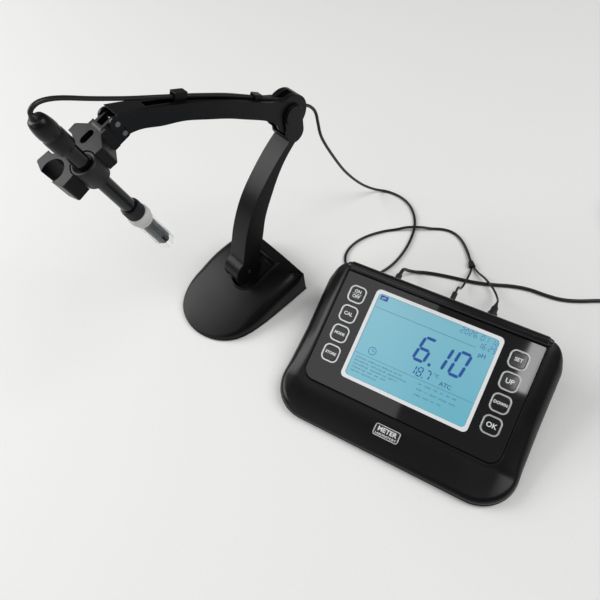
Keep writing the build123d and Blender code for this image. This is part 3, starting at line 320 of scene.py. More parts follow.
FINISH["lcd_blue"] = lcd_lit()
INK_BLUE = plain("ink_blue", (0.01, 0.075, 0.32), 0.4, 0.10)
INK_DARK = plain("ink_dark", (0.045, 0.13, 0.20), 0.4)
INK_WHITE = plain("ink_white", (0.75, 0.76, 0.78), 0.4)
INK_BLACK = plain("ink_black", (0.01, 0.01, 0.012), 0.4)

slots = {entry["node"]: entry["material_slot"] for entry in frame["record"]["subparts"]}
for name, obj in nodes.items():
    finish = FINISH[slots[name]]
    if not obj.data.materials:
        obj.data.materials.append(finish)
    for material_slot in obj.material_slots:
        material_slot.material = finish


# ------------------------------------------------------------ mesh helpers
def build(name, verts, faces, finish, body, replaces=(), smooth=True, sharp=None):
    """A mesh object from millimetre points, with its finish, riding on a body."""
    mesh = bpy.data.meshes.new(name)
    mesh.from_pydata((verts * MM).tolist(), [], faces)
    mesh.update()
    mesh.validate()
    if smooth:
        mesh.polygons.foreach_set("use_smooth", [True] * len(mesh.polygons))
    obj = bpy.data.objects.new(name, mesh)
    bpy.context.scene.collection.objects.link(obj)
    mesh.materials.append(finish)
    if sharp:
        mesh.set_sharp_from_angle(angle=radians(sharp))
    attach(obj, body)
    if replaces:
        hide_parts(*replaces)
    return obj


def ring_mesh(rings, close_first=False, close_last=False):
    """Points and faces of closed rings of equal count, joined by quads from points i and i + 1 of a ring to
    the same two of the next; outward if the rings climb while they run counterclockwise."""
    rings = np.asarray(rings, float)
    last, count = len(rings) - 1, rings.shape[1]
    start = np.arange(last)[:, None] * count
    i = np.arange(count)
    j = (i + 1) % count
    quads = np.stack((start + i, start + j, start + count + j, start + count + i), axis=-1)
    faces = quads.reshape(-1, 4).tolist()
    if close_first:
        faces.append(i[::-1].tolist())
    if close_last:
        faces.append((last * count + i).tolist())
    return rings.reshape(-1, 3), faces


def slabs(pairs):
    """Points and faces of plates, each between a low and a high outline that run counterclockwise as seen
    from the high one: its two ends, and a quad for each step along the outline."""
    verts, faces, start = [], [], 0
    for low, high in pairs:
        count = len(low)
        i = start + np.arange(count)
        j = np.roll(i, -1)
        faces += [i[::-1].tolist(), (i + count).tolist()]
        faces += np.column_stack((i, j, j + count, i + count)).tolist()
        verts += [low, high]
        start += 2 * count
    return np.vstack(verts), faces


def lifted(place, xy, z):
    """Points of plan outlines at a height, placed by one of the frames above."""
    return place(xy[..., 0], xy[..., 1], z)


def quarter(count=13):
    """Angles of a quarter turn, as a column."""
    return np.radians(np.linspace(0, 90, count))[:, None]


def rounded_plan(x0, x1, y0, y1, front, back, arc=20, side=24):
    """Counterclockwise outline of a rounded rectangle, with its outward normals: quarter circles, centre +
    radius x (cos a, sin a), joined by straight runs."""
    corners = (
        (x1 - front, y0 + front, front, -90), (x1 - back, y1 - back, back, 0),
        (x0 + back, y1 - back, back, 90), (x0 + front, y0 + front, front, 180),
    )
    arcs, ways = [], []
    for x, y, radius, start in corners:
        a = np.radians(start + 90 * np.arange(arc + 1) / arc)
        ways.append(np.column_stack((np.cos(a), np.sin(a))))
        arcs.append(np.array((x, y)) + radius * ways[-1])
    t = (np.arange(1, side) / side)[:, None]
    points, normals = [], []
    for k in range(4):
        here, there = arcs[k][-1], arcs[(k + 1) % 4][0]
        points += [arcs[k], here + (there - here) * t]
        normals += [ways[k], np.repeat(ways[k][-1:], side - 1, axis=0)]
    return np.vstack(points), np.vstack(normals)


# ------------------------------------------------------------ console's upper shell
def console_top(x, y):
    """Height of the console's top at a level place: the higher of the slope and the flatter front deck, with
    the crease between them blended, less a fall along the wings that grows as a power of the way out."""
    slope = SCREEN_Z + y * TT - SKIN_DROP
    deck = SCREEN_Z + CREASE_Y * TT - SKIN_DROP + (y - CREASE_Y) * DECK_FALL / DECK_RUN
    soft = 1.6
    near = np.exp(-np.abs(slope - deck) / soft)
    top = np.maximum(slope, deck) + soft * np.log1p(near) - 0.75 * soft * near
    share = np.clip((top - 9.0) / 30.0, 0.1, 1.0)
    out = np.clip((np.abs(x) - 103.2) / 21.5, 0, 0.97)
    return top - 13.0 * share * out**1.35


def upper_shell():
    """Rings round the plan: up the wall, over a rounded edge whose radius is 9 mm or what the wall allows,
    across the wing at the top's height, and down into the panel's groove. The edge is a quarter circle, in
    by radius x (1 - cos a) and below the top by radius x (1 - sin a)."""
    outer, normal = rounded_plan(-124.1, 124.1, -97.0, 59.6, 38, 18)
    groove, _ = rounded_plan(-102.55, 102.55, -64.75, 55.5, 12.3, 2.5)
    level = groove * (1.0, TC)
    wall_room = 0.84 * (console_top(outer[:, 0], outer[:, 1]) - 7.0)
    toward_back = np.clip((outer[:, 1] - 50) / 9.0, 0, 1)
    radius = np.minimum(9.0, wall_room) * (1 - 0.72 * toward_back)
    wall = [lifted(console_point, outer - normal * inset, z) for inset, z in ((0.15, 6.15), (0.0, 6.3))]
    a = quarter()
    xy = outer - normal * (radius * (1 - np.cos(a)))[..., None]
    edge = lifted(console_point, xy, console_top(xy[..., 0], xy[..., 1]) - radius * (1 - np.sin(a)))
    inner = outer - normal * radius[:, None]
    t = np.linspace(0.08, 1.0, 14)[:, None]
    xy = inner + (level - inner) * t[..., None]
    on_slope = SCREEN_Z + xy[..., 1] * TT - SKIN_DROP
    wing = lifted(console_point, xy, console_top(xy[..., 0], xy[..., 1]) * (1 - t**3) + on_slope * t**3)
    inside = [on_face(groove[:, 0], groove[:, 1], n) for n in (-1.05, -3.8)]
    verts, faces = ring_mesh(np.concatenate((wall, edge, wing, inside)))
    build("upper_shell_skin", verts, faces, FINISH["shell_black"], "base", ["upper_shell"])


upper_shell()


def hood_skin():
    """The rolled hood: one smooth section across the slope, carried along the console's width and drawn in
    at its ends, as centre + (section - centre) x the scale at each station, kept above its seat."""
    seat = -0.75
    section = np.array([(55.6, -0.7), (55.55, 1.2), (56.0, 2.9), (57.3, 4.4), (59.2, 5.4), (61.2, 5.7),
                        (63.1, 5.1), (64.5, 3.7), (65.2, 2.0), (64.9, 0.5), (64.1, -0.7), (60.0, seat)])
    centre = np.array((60.4, 0.0))
    ends = [(-105.6, 0.30), (-105.4, 0.52), (-104.4, 0.68), (-102.6, 0.78), (-101.3, 0.84),
            (-100.9, 0.985), (-99.5, 1.0)]
    middle = [(x, 1.0) for x in np.linspace(-92, 92, 15)]
    stations = np.array(ends + middle + [(-x, scale) for x, scale in reversed(ends)])
    v, n = np.moveaxis(centre + (section - centre) * stations[:, 1, None, None], -1, 0)
    verts, faces = ring_mesh(on_face(stations[:, :1], v, np.maximum(n, seat)), True, True)
    build("hood_skin", verts, faces, FINISH["hood_grey"], "base", ["hood"], sharp=50)


hood_skin()


# ------------------------------------------------------------ stand's base
def base_outline(count=240):
    """The base's plan, counterclockwise, with its outward normals: straight across the back, and an arch
    forward, a cubic Hermite curve through a few points with slopes taken from their neighbours."""
    arch = np.array([(-49.5, 0), (-56.5, -26), (-60, -60), (-56, -92), (-43, -114), (-24, -125), (-2, -127.5),
                     (18.5, -122), (33.5, -111.5), (43.5, -97), (48.5, -74), (49.8, -38), (49.5, 0)])
    t = np.r_[0, np.cumsum(np.hypot(*np.diff(arch, axis=0).T))]
    slopes = np.zeros(arch.shape)
    slopes[1:-1] = (arch[2:] - arch[:-2]) / (t[2:] - t[:-2])[:, None]
    slopes[0], slopes[-1] = (-0.27, -0.96), (-0.01, 1)
    s = np.linspace(0, t[-1], count)
    k = np.clip(np.searchsorted(t, s) - 1, 0, len(t) - 2)
    h = (t[k + 1] - t[k])[:, None]
    x = (s - t[k])[:, None] / h
    curve = ((2 * x**3 - 3 * x**2 + 1) * arch[k] + (x**3 - 2 * x**2 + x) * h * slopes[k]
             + (-2 * x**3 + 3 * x**2) * arch[k + 1] + (x**3 - x**2) * h * slopes[k + 1])
    back = np.column_stack((np.linspace(49.5, -49.5, 82)[1:-1], np.zeros(80)))
    outline = np.vstack((curve, back))
    ahead = np.roll(outline, -1, 0) - np.roll(outline, 1, 0)
    ahead /= np.hypot(ahead[:, 0], ahead[:, 1])[:, None]
    return outline, np.column_stack((ahead[:, 1], -ahead[:, 0]))


def base_height_at(xy):
    """Top of the base: the mean of a falling line at seven near places, less a crown across that grows as
    a power of the way out."""
    line_d = np.array((-130, -114, -98, -80, -64, -46, -30, -15, 0.0))
    line_z = np.array((4.6, 8.9, 13.6, 19.4, 24.8, 30.0, 33.6, 36.0, 37.3))
    p, d = xy[..., 0], xy[..., 1]
    low = sum(np.interp(d + step, line_d, line_z) for step in (-9, -6, -3, 0, 3, 6, 9)) / 7
    return low - 3.2 * np.clip(np.abs(p + 4) / 54, 0, 1) ** 2.2


def base_skin():
    """Rings from the base's outline over its rounded edge to the boss, up its rim and down into the foot's
    pocket. The boss is a half circle in front and a rectangle behind, met at each outline point's
    angle from the boss's middle; the rings between are shares of the way from one to the other."""
    boss_d, boss_half, boss_back = -44.0, 20.0, 33.0
    below, inset = 0.2, 0.9
    outline, normal = base_outline()
    toward_back = np.clip((outline[:, 1] + 10) / 10.0, 0, 1)
    radius = np.clip(0.82 * (base_height_at(outline) - 4.4), 0.4, 12.0) * (1 - 0.86 * toward_back)
    a = np.arctan2(outline[:, 1] - boss_d, outline[:, 0])
    square = np.minimum(boss_half / np.maximum(np.abs(np.cos(a)), 1e-6),
                        boss_back / np.maximum(np.sin(a), 1e-6))
    reach = np.where(outline[:, 1] > boss_d, square, boss_half)
    boss = np.column_stack((reach * np.cos(a), boss_d + reach * np.sin(a)))
    foot = [lifted(stand_point, outline - normal * drawn_in, z)
            for drawn_in, z in ((0.6, 1.5), (0.1, 1.8), (0.1, 3.2), (0.3, 3.4), (inset, 3.5))]
    a = quarter()
    xy = outline - normal * (inset + radius * (1 - np.cos(a)))[..., None]
    over = np.minimum(base_height_at(xy), 37.5)
    edge = lifted(stand_point, xy, np.maximum(over - radius * (1 - np.sin(a)) - below, 3.55))
    inner = outline - normal * (inset + radius)[:, None]
    xy = inner + (boss - inner) * np.linspace(0.06, 1.0, 16)[:, None, None]
    top = lifted(stand_point, xy, base_height_at(xy) - below)
    lip = base_height_at(boss) - below
    rim_top = np.clip(lip + 1.4, 27.6, 36.8)
    middle = np.array((0.0, -40.0))
    steps = ((1.0, 0.55), (0.985, 0.9), (0.955, 1.0), (0.90, 1.0), (0.87, 0.85), (0.855, 0.3))
    rim = [lifted(stand_point, middle + (boss - middle) * scale, lip + (rim_top - lip) * share)
           for scale, share in steps]
    pocket = [lifted(stand_point, middle + (boss - middle) * scale, np.minimum(z, lip - 0.3))
              for scale, z in ((0.85, 26.0), (0.6, 25.6), (0.2, 25.6))]
    verts, faces = ring_mesh(np.concatenate((foot, edge, top, rim, pocket)), True, True)
    build("base_skin", verts, faces, FINISH["stand_black"], "base", ["base_cover"], sharp=62)


base_skin()


def foot_lug():
    """The two plates in the base's pocket that carry the foot pins: webs 2.7 mm thick, whose tops are two
    quarter circles of one radius."""
    bottom, near, far, round_radius = 24, 3.35, 6.05, 5.4
    a = quarter(9)[:, 0]
    front = np.column_stack((-46 - round_radius * np.cos(a), 47 + round_radius * np.sin(a)))
    back = np.column_stack((-37 + round_radius * np.sin(a), 45.5 + round_radius * np.cos(a)))
    d, z = np.vstack((front, back, [(-31.6, bottom), (-51.4, bottom)])).T
    left = (stand_point(-far, d, z), stand_point(-near, d, z))
    right = (stand_point(near, d, z), stand_point(far, d, z))
    verts, faces = slabs((left, right))
    build("foot_lug", verts, faces, FINISH["stand_black"], "base", smooth=False)


foot_lug()


# ------------------------------------------------------------ electrode's collar and cap
def lathe(name, profile, finish, replaced, ribs=None, around=96, sharp=40):
    """A turned piece on the electrode's axis: each (radius, rise) of its profile carried round. Ribs, given
    as (teeth, depth, shares), cut the radius by depth x share x (1 + cos(teeth x angle)) / 2."""
    radius, rise = np.array(profile, float).T[:, :, None]
    a = 2 * pi * np.arange(around) / around
    if ribs:
        teeth, depth, shares = ribs
        radius = radius - depth * np.array(shares)[:, None] * (0.5 + 0.5 * np.cos(teeth * a))
    verts, faces = ring_mesh(electrode_point(radius, a, rise), True, True)
    build(name, verts, faces, FINISH[finish], "head", [replaced], sharp=sharp)


lathe("collar_ribbed",
      [(6.4, -68.0), (7.8, -67.95), (8.1, -67.5), (8.18, -66.8), (8.18, -59.8), (8.0, -58.5), (7.6, -57.4),
       (7.0, -57.05), (6.05, -57.05)],
      "cap_black", "guard_collar", ribs=(32, 0.45, (0, 0, 0.4, 1, 1, 0.5, 0, 0, 0)), around=256)
lathe("seal_ring_round",
      [(6.45, -80.0), (7.4, -79.95), (7.95, -79.5), (8.05, -78.6), (8.05, -75.9), (8.6, -75.2), (9.2, -74.8),
       (9.38, -74.0), (9.38, -69.4), (9.1, -68.5), (8.5, -68.1), (6.5, -68.05)],
      "seal_white", "seal_ring", around=120, sharp=60)
lathe("cap_round",
      [(6.0, 17.4), (7.2, 17.5), (7.85, 18.3), (7.95, 20.5), (7.95, 30.0), (7.6, 31.0), (7.35, 32.2),
       (7.6, 33.4), (7.8, 34.6), (7.6, 39.0), (6.9, 43.0), (6.0, 45.6), (4.6, 46.7), (2.6, 46.98)],
      "cap_black", "electrode_cap", sharp=50)
lathe("lead_taper", [(3.2, 46.7), (3.15, 47.3), (2.6, 48.2), (2.1, 49.4), (1.7, 50.0)],
      "rubber_black", "strain_relief", sharp=60)
lathe("bush_round",
      [(6.05, -17.9), (9.4, -17.85), (10.0, -17.2), (10.05, -0.9), (9.5, -0.3), (8.4, -0.1), (7.2, -0.9),
       (6.1, -2.4)],
      "rubber_black", "clip_bush", sharp=60)


# ------------------------------------------------------------ leads
def spline(name, points, diameter, bevel=True):
    """An open NURBS curve whose control points are the route's millimetre points, round if bevelled."""
    data = bpy.data.curves.new(name, "CURVE")
    data.dimensions = "3D"
    data.resolution_u = 10
    run = data.splines.new("NURBS")
    run.points.add(len(points) - 1)
    for spot, point in zip(run.points, points):
        spot.co = (*metres(point), 1.0)
    run.order_u = 3
    run.use_endpoint_u = True
    if bevel:
        data.bevel_depth = diameter * MM / 2
        data.bevel_resolution = 5
        data.use_fill_caps = True
    data.materials.append(FINISH["lead_black"])
    obj = bpy.data.objects.new(name, data)
    bpy.context.scene.collection.objects.link(obj)
    return obj


def route_line(points):
    """Points along the route's own NURBS spline, in metres."""
    bare = spline("bare_line", points, 1.0, bevel=False)
    bpy.context.view_layer.update()
    mesh = bpy.data.meshes.new_from_object(bare)
    line = np.array([v.co for v in mesh.vertices], float)
    bpy.data.objects.remove(bare)
    return line


def tube_mesh(name, line, diameter, around=14):
    """A closed tube round a line of points in metres: each point + radius x (across x cos a + up x sin a),
    where across is carried along the line without twist."""
    ahead = np.gradient(line, axis=0)
    ahead /= np.linalg.norm(ahead, axis=1)[:, None]
    across = np.empty_like(line)
    carried = np.cross(ahead[0], (0.3, 0.9, 0.1))
    for k, direction in enumerate(ahead):
        carried = carried - direction * np.dot(carried, direction)
        carried /= np.linalg.norm(carried)
        across[k] = carried
    up = np.cross(ahead, across)
    a = (2 * pi * np.arange(around) / around)[:, None]
    section = across[:, None] * np.cos(a) + up[:, None] * np.sin(a)
    verts, faces = ring_mesh(line[:, None] + section * diameter * MM / 2, True, True)
    mesh = bpy.data.meshes.new(name)
    mesh.from_pydata(verts.tolist(), [], faces)
    mesh.polygons.foreach_set("use_smooth", [True] * len(mesh.polygons))
    mesh.materials.append(FINISH["lead_black"])
    obj = bpy.data.objects.new(name, mesh)
    bpy.context.scene.collection.objects.link(obj)
    return obj


REST = 1.65
OVER = 5.3
POWER_REST = 2.05


def cap_axis(rise):
    """The stand's coordinates of a place on the electrode's axis."""
    return (GRIP_P, GRIP_D - rise * sin(LEAN), GRIP_Z + rise * cos(LEAN))


cap_route = [stand_point(*p) for p in (
    cap_axis(47.8), cap_axis(50.2), (16, -157.6, 337.0), (15.8, -155.2, 338.5), (15.3, -150.5, 339.0),
    (14.3, -143.6, 336.6), (12.3, -134.5, 330.8), (8.5, -119.5, 319.0), (3.0, -98.5, 303.7),
    (0, -87.1, 295.7), (0, -80, 291.9))]
arm_route = [stand_point(*p) for p in (
    (0, -80, 291.9), (0, -65.4, 284.1), (0, -37.2, 268.4), (0, -8, 250.6), (0, 12, 236.9),
    (0, 26, 226.6), (0, 34, 221.4))]
hanging_route = [stand_point(*p) for p in (
    (0, 34, 221.4), (0, 42, 216.2), (0, 50, 214.0), (0, 56.8, 208.4), (0.2, 62, 201.2),
    (0.3, 66.5, 195.5))] + [console_point(*p) for p in (
        (-181.2, 130.5, 189.5), (-179.2, 136.5, 179.5), (-178.6, 137.8, 165),
        (-178.2, 139.5, 148), (-176.5, 145.5, 130), (-173, 154.5, 107), (-168, 167, 77),
        (-162, 182, 50), (-156.4, 198.5, 25.5), (-152.5, 206.5, 16))]
table_route = [console_point(*p) for p in (
    (-152.5, 206.5, 16), (-149.15, 213.38, 7.83), (-143.8, 219.3, 2.6), (-134, 222.4, REST),
    (-117, 221.2, REST), (-101.5, 214.5, REST), (-88.5, 201.5, REST), (-80, 185, REST),
    (-76.5, 168, REST), (-75.5, 145, REST), (-79, 122, REST), (-86.5, 104.5, REST),
    (-97, 92.5, REST), (-111, 87.5, REST), (-125, 90.5, REST), (-135, 100.5, REST),
    (-138.5, 114, REST), (-135, 131, REST), (-125, 147, REST), (-110, 161.5, REST),
    (-97.5, 169.8, REST), (-87.5, 175.2, OVER), (-70.5, 183.0, OVER), (-61, 187.8, REST),
    (-50, 192.6, REST), (-38, 194.4, REST), (-25.5, 190.2, REST), (-14, 179.5, REST),
    (-5.2, 167.6, 2.5), (-0.9, 160.8, 2.5))]
probe_route = [console_point(*p) for p in (
    (3.0, 153.0, 2.3), (4.4, 147.0, 2.6), (4.6, 140.0, 5.7), (4.2, 127.5, 5.7), (3.6, 119.5, 6.6),
    (2.8, 112.5, 13.5), (2.2, 108.0, 22.0), (2.0, 102.5, 30), (2.0, 94.0, 30))]
bnc_route = [console_point(*p) for p in (
    (5.3, 154.6, 2.3), (12, 149.2, 2.4), (21, 143.8, 5.7), (32.5, 135.8, 5.7), (40.0, 127.5, 6.5),
    (43.8, 117.5, 12.5), (44.8, 109.5, 22.0), (45.0, 102.5, 30), (45.0, 94.0, 30))]

# the power lead's put-away turns: in along the bottom layer, out along the middle one, in along the top
COIL_X, COIL_Y = 187.0, 222.0
ENTER, LEAVE, TURNS = 300.0, 30.0, 7
STEP = 24.0
LAYER_TURNS = 2.55
WIDE, NARROW, SIDE_PITCH = 25.6, 18.0, 3.0
LAYER_RISE = 3.95


def coil_spot(radius, angle, height, onward=0.0):
    """A place at an angle round the coil, moved onward along its tangent."""
    a = radians(angle)
    return (COIL_X + radius * cos(a) - onward * sin(a), COIL_Y + radius * sin(a) + onward * cos(a), height)


coil_turns = []
angle = ENTER + STEP
while angle < LEAVE + 360 * TURNS - STEP / 2:
    turned = (angle - ENTER) / 360.0
    layer = min(int(turned / LAYER_TURNS), 2)
    along = turned - LAYER_TURNS * layer
    radius = NARROW + SIDE_PITCH * along if layer == 1 else WIDE - SIDE_PITCH * along
    climb = max(0.0, (along - 2.3) / 0.25)
    coil_turns.append(coil_spot(radius, angle, 2.1 + LAYER_RISE * min(layer + climb, 2.0)))
    angle += STEP
power_route = [console_point(*p) for p in [
    (-62, 94, 24), (-62, 101.5, 24), (-61.4, 108, 18.0), (-58.8, 113.8, 9.0), (-52.5, 119.2, 3.2),
    (-43.5, 123.8, POWER_REST), (-30, 127.6, POWER_REST), (-11, 131.2, POWER_REST),
    (11, 134.6, POWER_REST), (31, 140.4, POWER_REST), (50, 148.0, POWER_REST), (69, 152.4, POWER_REST),
    (88, 152.0, POWER_REST), (105, 153.6, POWER_REST), (121, 159.6, POWER_REST),
    (139, 169.3, POWER_REST), (156, 177.0, POWER_REST), coil_spot(25.4, ENTER, POWER_REST, -32),
    coil_spot(25.4, ENTER, POWER_REST, -18), coil_spot(25.4, ENTER, POWER_REST, -5), *coil_turns,
    coil_spot(22.0, LEAVE, 13.6, 12), coil_spot(22.0, LEAVE, 10.6, 22), coil_spot(22.0, LEAVE, 9.95, 34)]]


def free_lead(name, route, diameter, replaced, blend=None):
    """A lead along its route: a round curve riding on the base, or, given a blend, a tube mesh that rides on
    no body."""
    line = route_line(route)
    if blend:
        obj = tube_mesh(name, line, diameter)
        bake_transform(obj)
    else:
        obj = spline(name, route, diameter)
        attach(obj, "base")
    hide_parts(*replaced)


free_lead("electrode_lead_cap", cap_route, 3.2, ["lead_at_cap"],
          blend=("head", "arm", metres(stand_point(14, -150, 337)), metres(stand_point(0, -90, 297))))
arm_lead = spline("electrode_lead_arm", arm_route, 3.2)
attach(arm_lead, "arm")
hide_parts("lead_in_arm")
free_lead("electrode_lead_hanging", hanging_route, 3.2, ["lead_hanging"],
          blend=("column", "base", metres(stand_point(0.3, 66.5, 195)),
                 metres(console_point(-153, 205, 18))))
free_lead("electrode_lead_table", table_route, 3.2, ["lead_on_table"])
free_lead("probe_lead", probe_route, 2.4, ["thin_leads"])
free_lead("bnc_lead", bnc_route, 2.4, ["thin_leads"])
free_lead("mains_lead", power_route, 4.0, ["power_lead", "power_coil"])


# ------------------------------------------------------------ printing on the screen, keys and panel
def laid_flat(point, right, up, out):
    """Matrix that puts flat work at a millimetre point, along three directions."""
    axes = Matrix((Vector(right), Vector(up), Vector(out))).transposed().to_4x4()
    return Matrix.Translation(Vector(point) * MM) @ axes


def face_matrix(u, v, n):
    """Matrix that lays flat work on the panel, in metres."""
    return laid_flat(on_face(u, v, n), (1, 0, 0), (0, TC, TS), (0, -TS, TC))


def print_text(name, words, place, size, finish, body="base", align="LEFT", bold=0.0, wide=1.0):
    """Lettering as a flat mesh, put in place by a matrix."""
    data = bpy.data.curves.new(name, "FONT")
    data.body = words
    data.size = size * MM
    data.align_x = align
    data.align_y = "CENTER"
    data.offset = bold * MM
    data.extrude = 0.00004
    data.resolution_u = 3
    temp = bpy.data.objects.new(name + "_text", data)
    bpy.context.scene.collection.objects.link(temp)
    bpy.context.view_layer.update()
    mesh = bpy.data.meshes.new_from_object(temp)
    bpy.data.objects.remove(temp)
    mesh.transform(Matrix.Diagonal((wide, 1, 1, 1)))
    mesh.transform(place)
    mesh.materials.clear()
    mesh.materials.append(finish)
    obj = bpy.data.objects.new(name, mesh)
    bpy.context.scene.collection.objects.link(obj)
    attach(obj, body)
    return obj


def flat_shapes(name, shapes, n, finish, body="base", thick=0.08):
    """Flat printed shapes on the panel: each a convex outline in panel millimetres, given a thickness."""
    outlines = [np.array(shape, float).T for shape in shapes]
    verts, faces = slabs([(on_face(u, v, n), on_face(u, v, n + thick)) for u, v in outlines])
    build(name, verts, faces, finish, body, smooth=False)


def bar(u0, v0, u1, v1, width):
    """A segment of a figure: a bar between two points, whose pointed ends are half its width long."""
    run = hypot(u1 - u0, v1 - v0)
    a = ((u1 - u0) / run, (v1 - v0) / run)
    b = (-a[1] * width / 2, a[0] * width / 2)
    c = width / 2
    return [
        (u0, v0), (u0 + a[0] * c - b[0], v0 + a[1] * c - b[1]),
        (u1 - a[0] * c - b[0], v1 - a[1] * c - b[1]), (u1, v1),
        (u1 - a[0] * c + b[0], v1 - a[1] * c + b[1]), (u0 + a[0] * c + b[0], v0 + a[1] * c + b[1]),
    ]


SEGMENTS = {"0": "abcdef", "1": "bc", "2": "abged", "3": "abgcd", "4": "fgbc", "5": "afgcd",
            "6": "afgecd", "7": "abc", "8": "abcdefg", "9": "abcdfg"}


def figure(digit, u, v, w, h, t, lean=0.12):
    """Seven-segment figure with its lower left corner at u, v."""
    gap = 0.35
    at = {"a": ((0, h), (w, h)), "b": ((w, h), (w, h / 2)), "c": ((w, h / 2), (w, 0)),
          "d": ((0, 0), (w, 0)), "e": ((0, h / 2), (0, 0)), "f": ((0, h), (0, h / 2)),
          "g": ((0, h / 2), (w, h / 2))}
    made = []
    for s in SEGMENTS[digit]:
        (x0, y0), (x1, y1) = at[s]
        run = hypot(x1 - x0, y1 - y0)
        dx, dy = (x1 - x0) / run * gap, (y1 - y0) / run * gap
        x0, y0, x1, y1 = x0 + dx, y0 + dy, x1 - dx, y1 - dy
        made.append(bar(u + x0 + y0 * lean, v + y0, u + x1 + y1 * lean, v + y1, t))
    return made


def number(digits, u, v, pitch, size, gap=0.0):
    """A row of figures a pitch apart, with a gap before the third."""
    made = []
    for k, digit in enumerate(digits):
        made += figure(digit, u + pitch * k + (gap if k > 1 else 0), v, *size)
    return made


PRINT_N = -0.08          # the screen's print lies this far under the panel's plane
SMALL = (4.4, 8.8, 1.1)
CLOCK = (2.6, 5.0, 0.6)
big = figure("6", -6.4, -3.2, 10.8, 24.0, 2.9, 0.17)
big += figure("1", 11.6, -3.2, 10.8, 23.6, 2.9, 0.17)
big += figure("0", 29.6, -3.2, 10.8, 24.0, 2.9, 0.15)
big += [[(9.2, -4.6), (12.0, -4.6), (12.0, -1.8), (9.2, -1.8)]]
flat_shapes("reading", big, PRINT_N, INK_BLUE)
small = number("187", -4.6, -17.4, 7.0, SMALL, 1.0)
small += [[(8.4, -17.9), (9.5, -17.9), (9.5, -16.8), (8.4, -16.8)]]
small += number("2026", 25.0, 38.4, 4.3, CLOCK)
small += number("0112", 45.0, 38.4, 4.3, CLOCK, 1.4)
small += number("1625", 45.0, 31.0, 4.3, CLOCK, 1.4)
flat_shapes("small_figures", small, PRINT_N, INK_BLUE)
lines = [
    [(-61, 29.8), (44, 29.8), (44, 30.15), (-61, 30.15)],
    [(-61, -20.2), (61, -20.2), (61, -19.9), (-61, -19.9)],
]
flat_shapes("screen_lines", lines, PRINT_N, INK_DARK, thick=0.05)
MENU = (
    (-58.5, -24.0, "SLOPE 98.6 %   OFFSET 0.2 mV   BUFFER 4.00  7.00  10.01"),
    (-58.5, -27.6, "AUTO READ ON    AUTO HOLD OFF    RESOLUTION 0.01 pH"),
    (-58.5, -31.2, "LOW ALARM 2.00    HIGH ALARM 12.00    UNIT C / F"),
    (-58.5, -34.8, "STORE 001 / 500    DATE    TIME    SETUP"),
    (-58.5, -38.4, "LIGHT ON    AUTO OFF 10 min"),
    (8.0, -24.0, "CAL     COND     TDS     SAL     RES     ORP"),
    (8.0, -29.5, "POINT 1  2  3    SELECT    RETURN    ENTER"),
    (8.0, -35.0, "STABLE    HOLD    ATC    MTC"),
)
for k, (u, v, words) in enumerate(MENU):
    print_text("menu_%d" % (k + 1), words, face_matrix(u, v, -0.06), 2.05, INK_DARK)
print_text("unit_mark", "pH", face_matrix(48.5, 24.6, -0.02), 6.0, INK_BLUE)
print_text("degree_mark", "°C", face_matrix(18.6, -10.4, -0.02), 4.6, INK_BLUE)
print_text("atc_mark", "ATC", face_matrix(26.2, -15.6, -0.02), 6.0, INK_BLUE)


def hoop(u, v, r, t, count=40):
    """A ring as quads, in panel millimetres: from radius r to r + t, between equal steps of angle."""
    a = 2 * pi * np.arange(count + 1) / count
    way = np.column_stack((np.cos(a), np.sin(a)))
    near, far = np.array((u, v)) + r * way, np.array((u, v)) + (r + t) * way
    return list(np.stack((near[:-1], far[:-1], far[1:], near[1:]), axis=1))


icons = hoop(-45.4, -13.0, 3.6, 0.5)
icons += [bar(-45.4, -13.0, -45.4, -10.4, 0.5), bar(-45.4, -13.0, -43.2, -13.0, 0.5)]
icons += [[(-60, 38.6), (-52, 38.6), (-52, 43.4), (-60, 43.4)]]
flat_shapes("screen_icons", icons, PRINT_N, INK_BLUE, thick=0.05)
print_text("icon_text", "pH", face_matrix(-58.4, 41.0, 0.0), 3.6, INK_WHITE)

LEGENDS = {"left": ("ON/OFF", "CAL", "MODE", "STORE"), "right": ("SET", "UP", "DOWN", "OK")}
KEY_TOP_V, KEY_PITCH = 34.1, 22.0
KEY_FACE = 1.32          # height of the keys' faces above the panel


def legend(name, word, u, v, size, body):
    """A white word in the middle of a key's face."""
    print_text(name, word, face_matrix(u, v, KEY_FACE), size, INK_WHITE, body, "CENTER", 0.12)


for side, u in (("left", -83.5), ("right", 83.5)):
    for row, word in enumerate(LEGENDS[side]):
        body = "key_%s_%d" % (side, row + 1)
        v = KEY_TOP_V - KEY_PITCH * row
        if "/" in word:
            top, bottom = word.split("/")
            legend(body + "_top", top, u, v + 3.0, 4.6, body)
            legend(body + "_low", bottom, u, v - 2.6, 4.6, body)
            rule = [(u - 5, v + 0.1), (u + 5, v + 0.1), (u + 5, v + 0.45), (u - 5, v + 0.45)]
            flat_shapes(body + "_rule", [rule], KEY_FACE, INK_WHITE, body)
        else:
            size = 6.6 if len(word) < 3 else 5.0 if len(word) < 4 else 3.9
            legend(body + "_word", word, u, v, size, body)

DECK = atan2(DECK_FALL, DECK_RUN)
BADGE_Y = -75.5
BADGE_Z = SCREEN_Z + CREASE_Y * TT - SKIN_DROP + (BADGE_Y - CREASE_Y) * tan(DECK)


def badge_point(x, y, n):
    """Points on the badge, from its middle: right, up the deck's slope, out of it."""
    return console_point(x, BADGE_Y + y * cos(DECK) - n * sin(DECK), BADGE_Z + y * sin(DECK) + n * cos(DECK))


def badge_matrix(x, y, n):
    """Matrix that lays flat work on the badge, from its middle."""
    return laid_flat(badge_point(x, y, n), (1, 0, 0), (0, cos(DECK), sin(DECK)), (0, -sin(DECK), cos(DECK)))


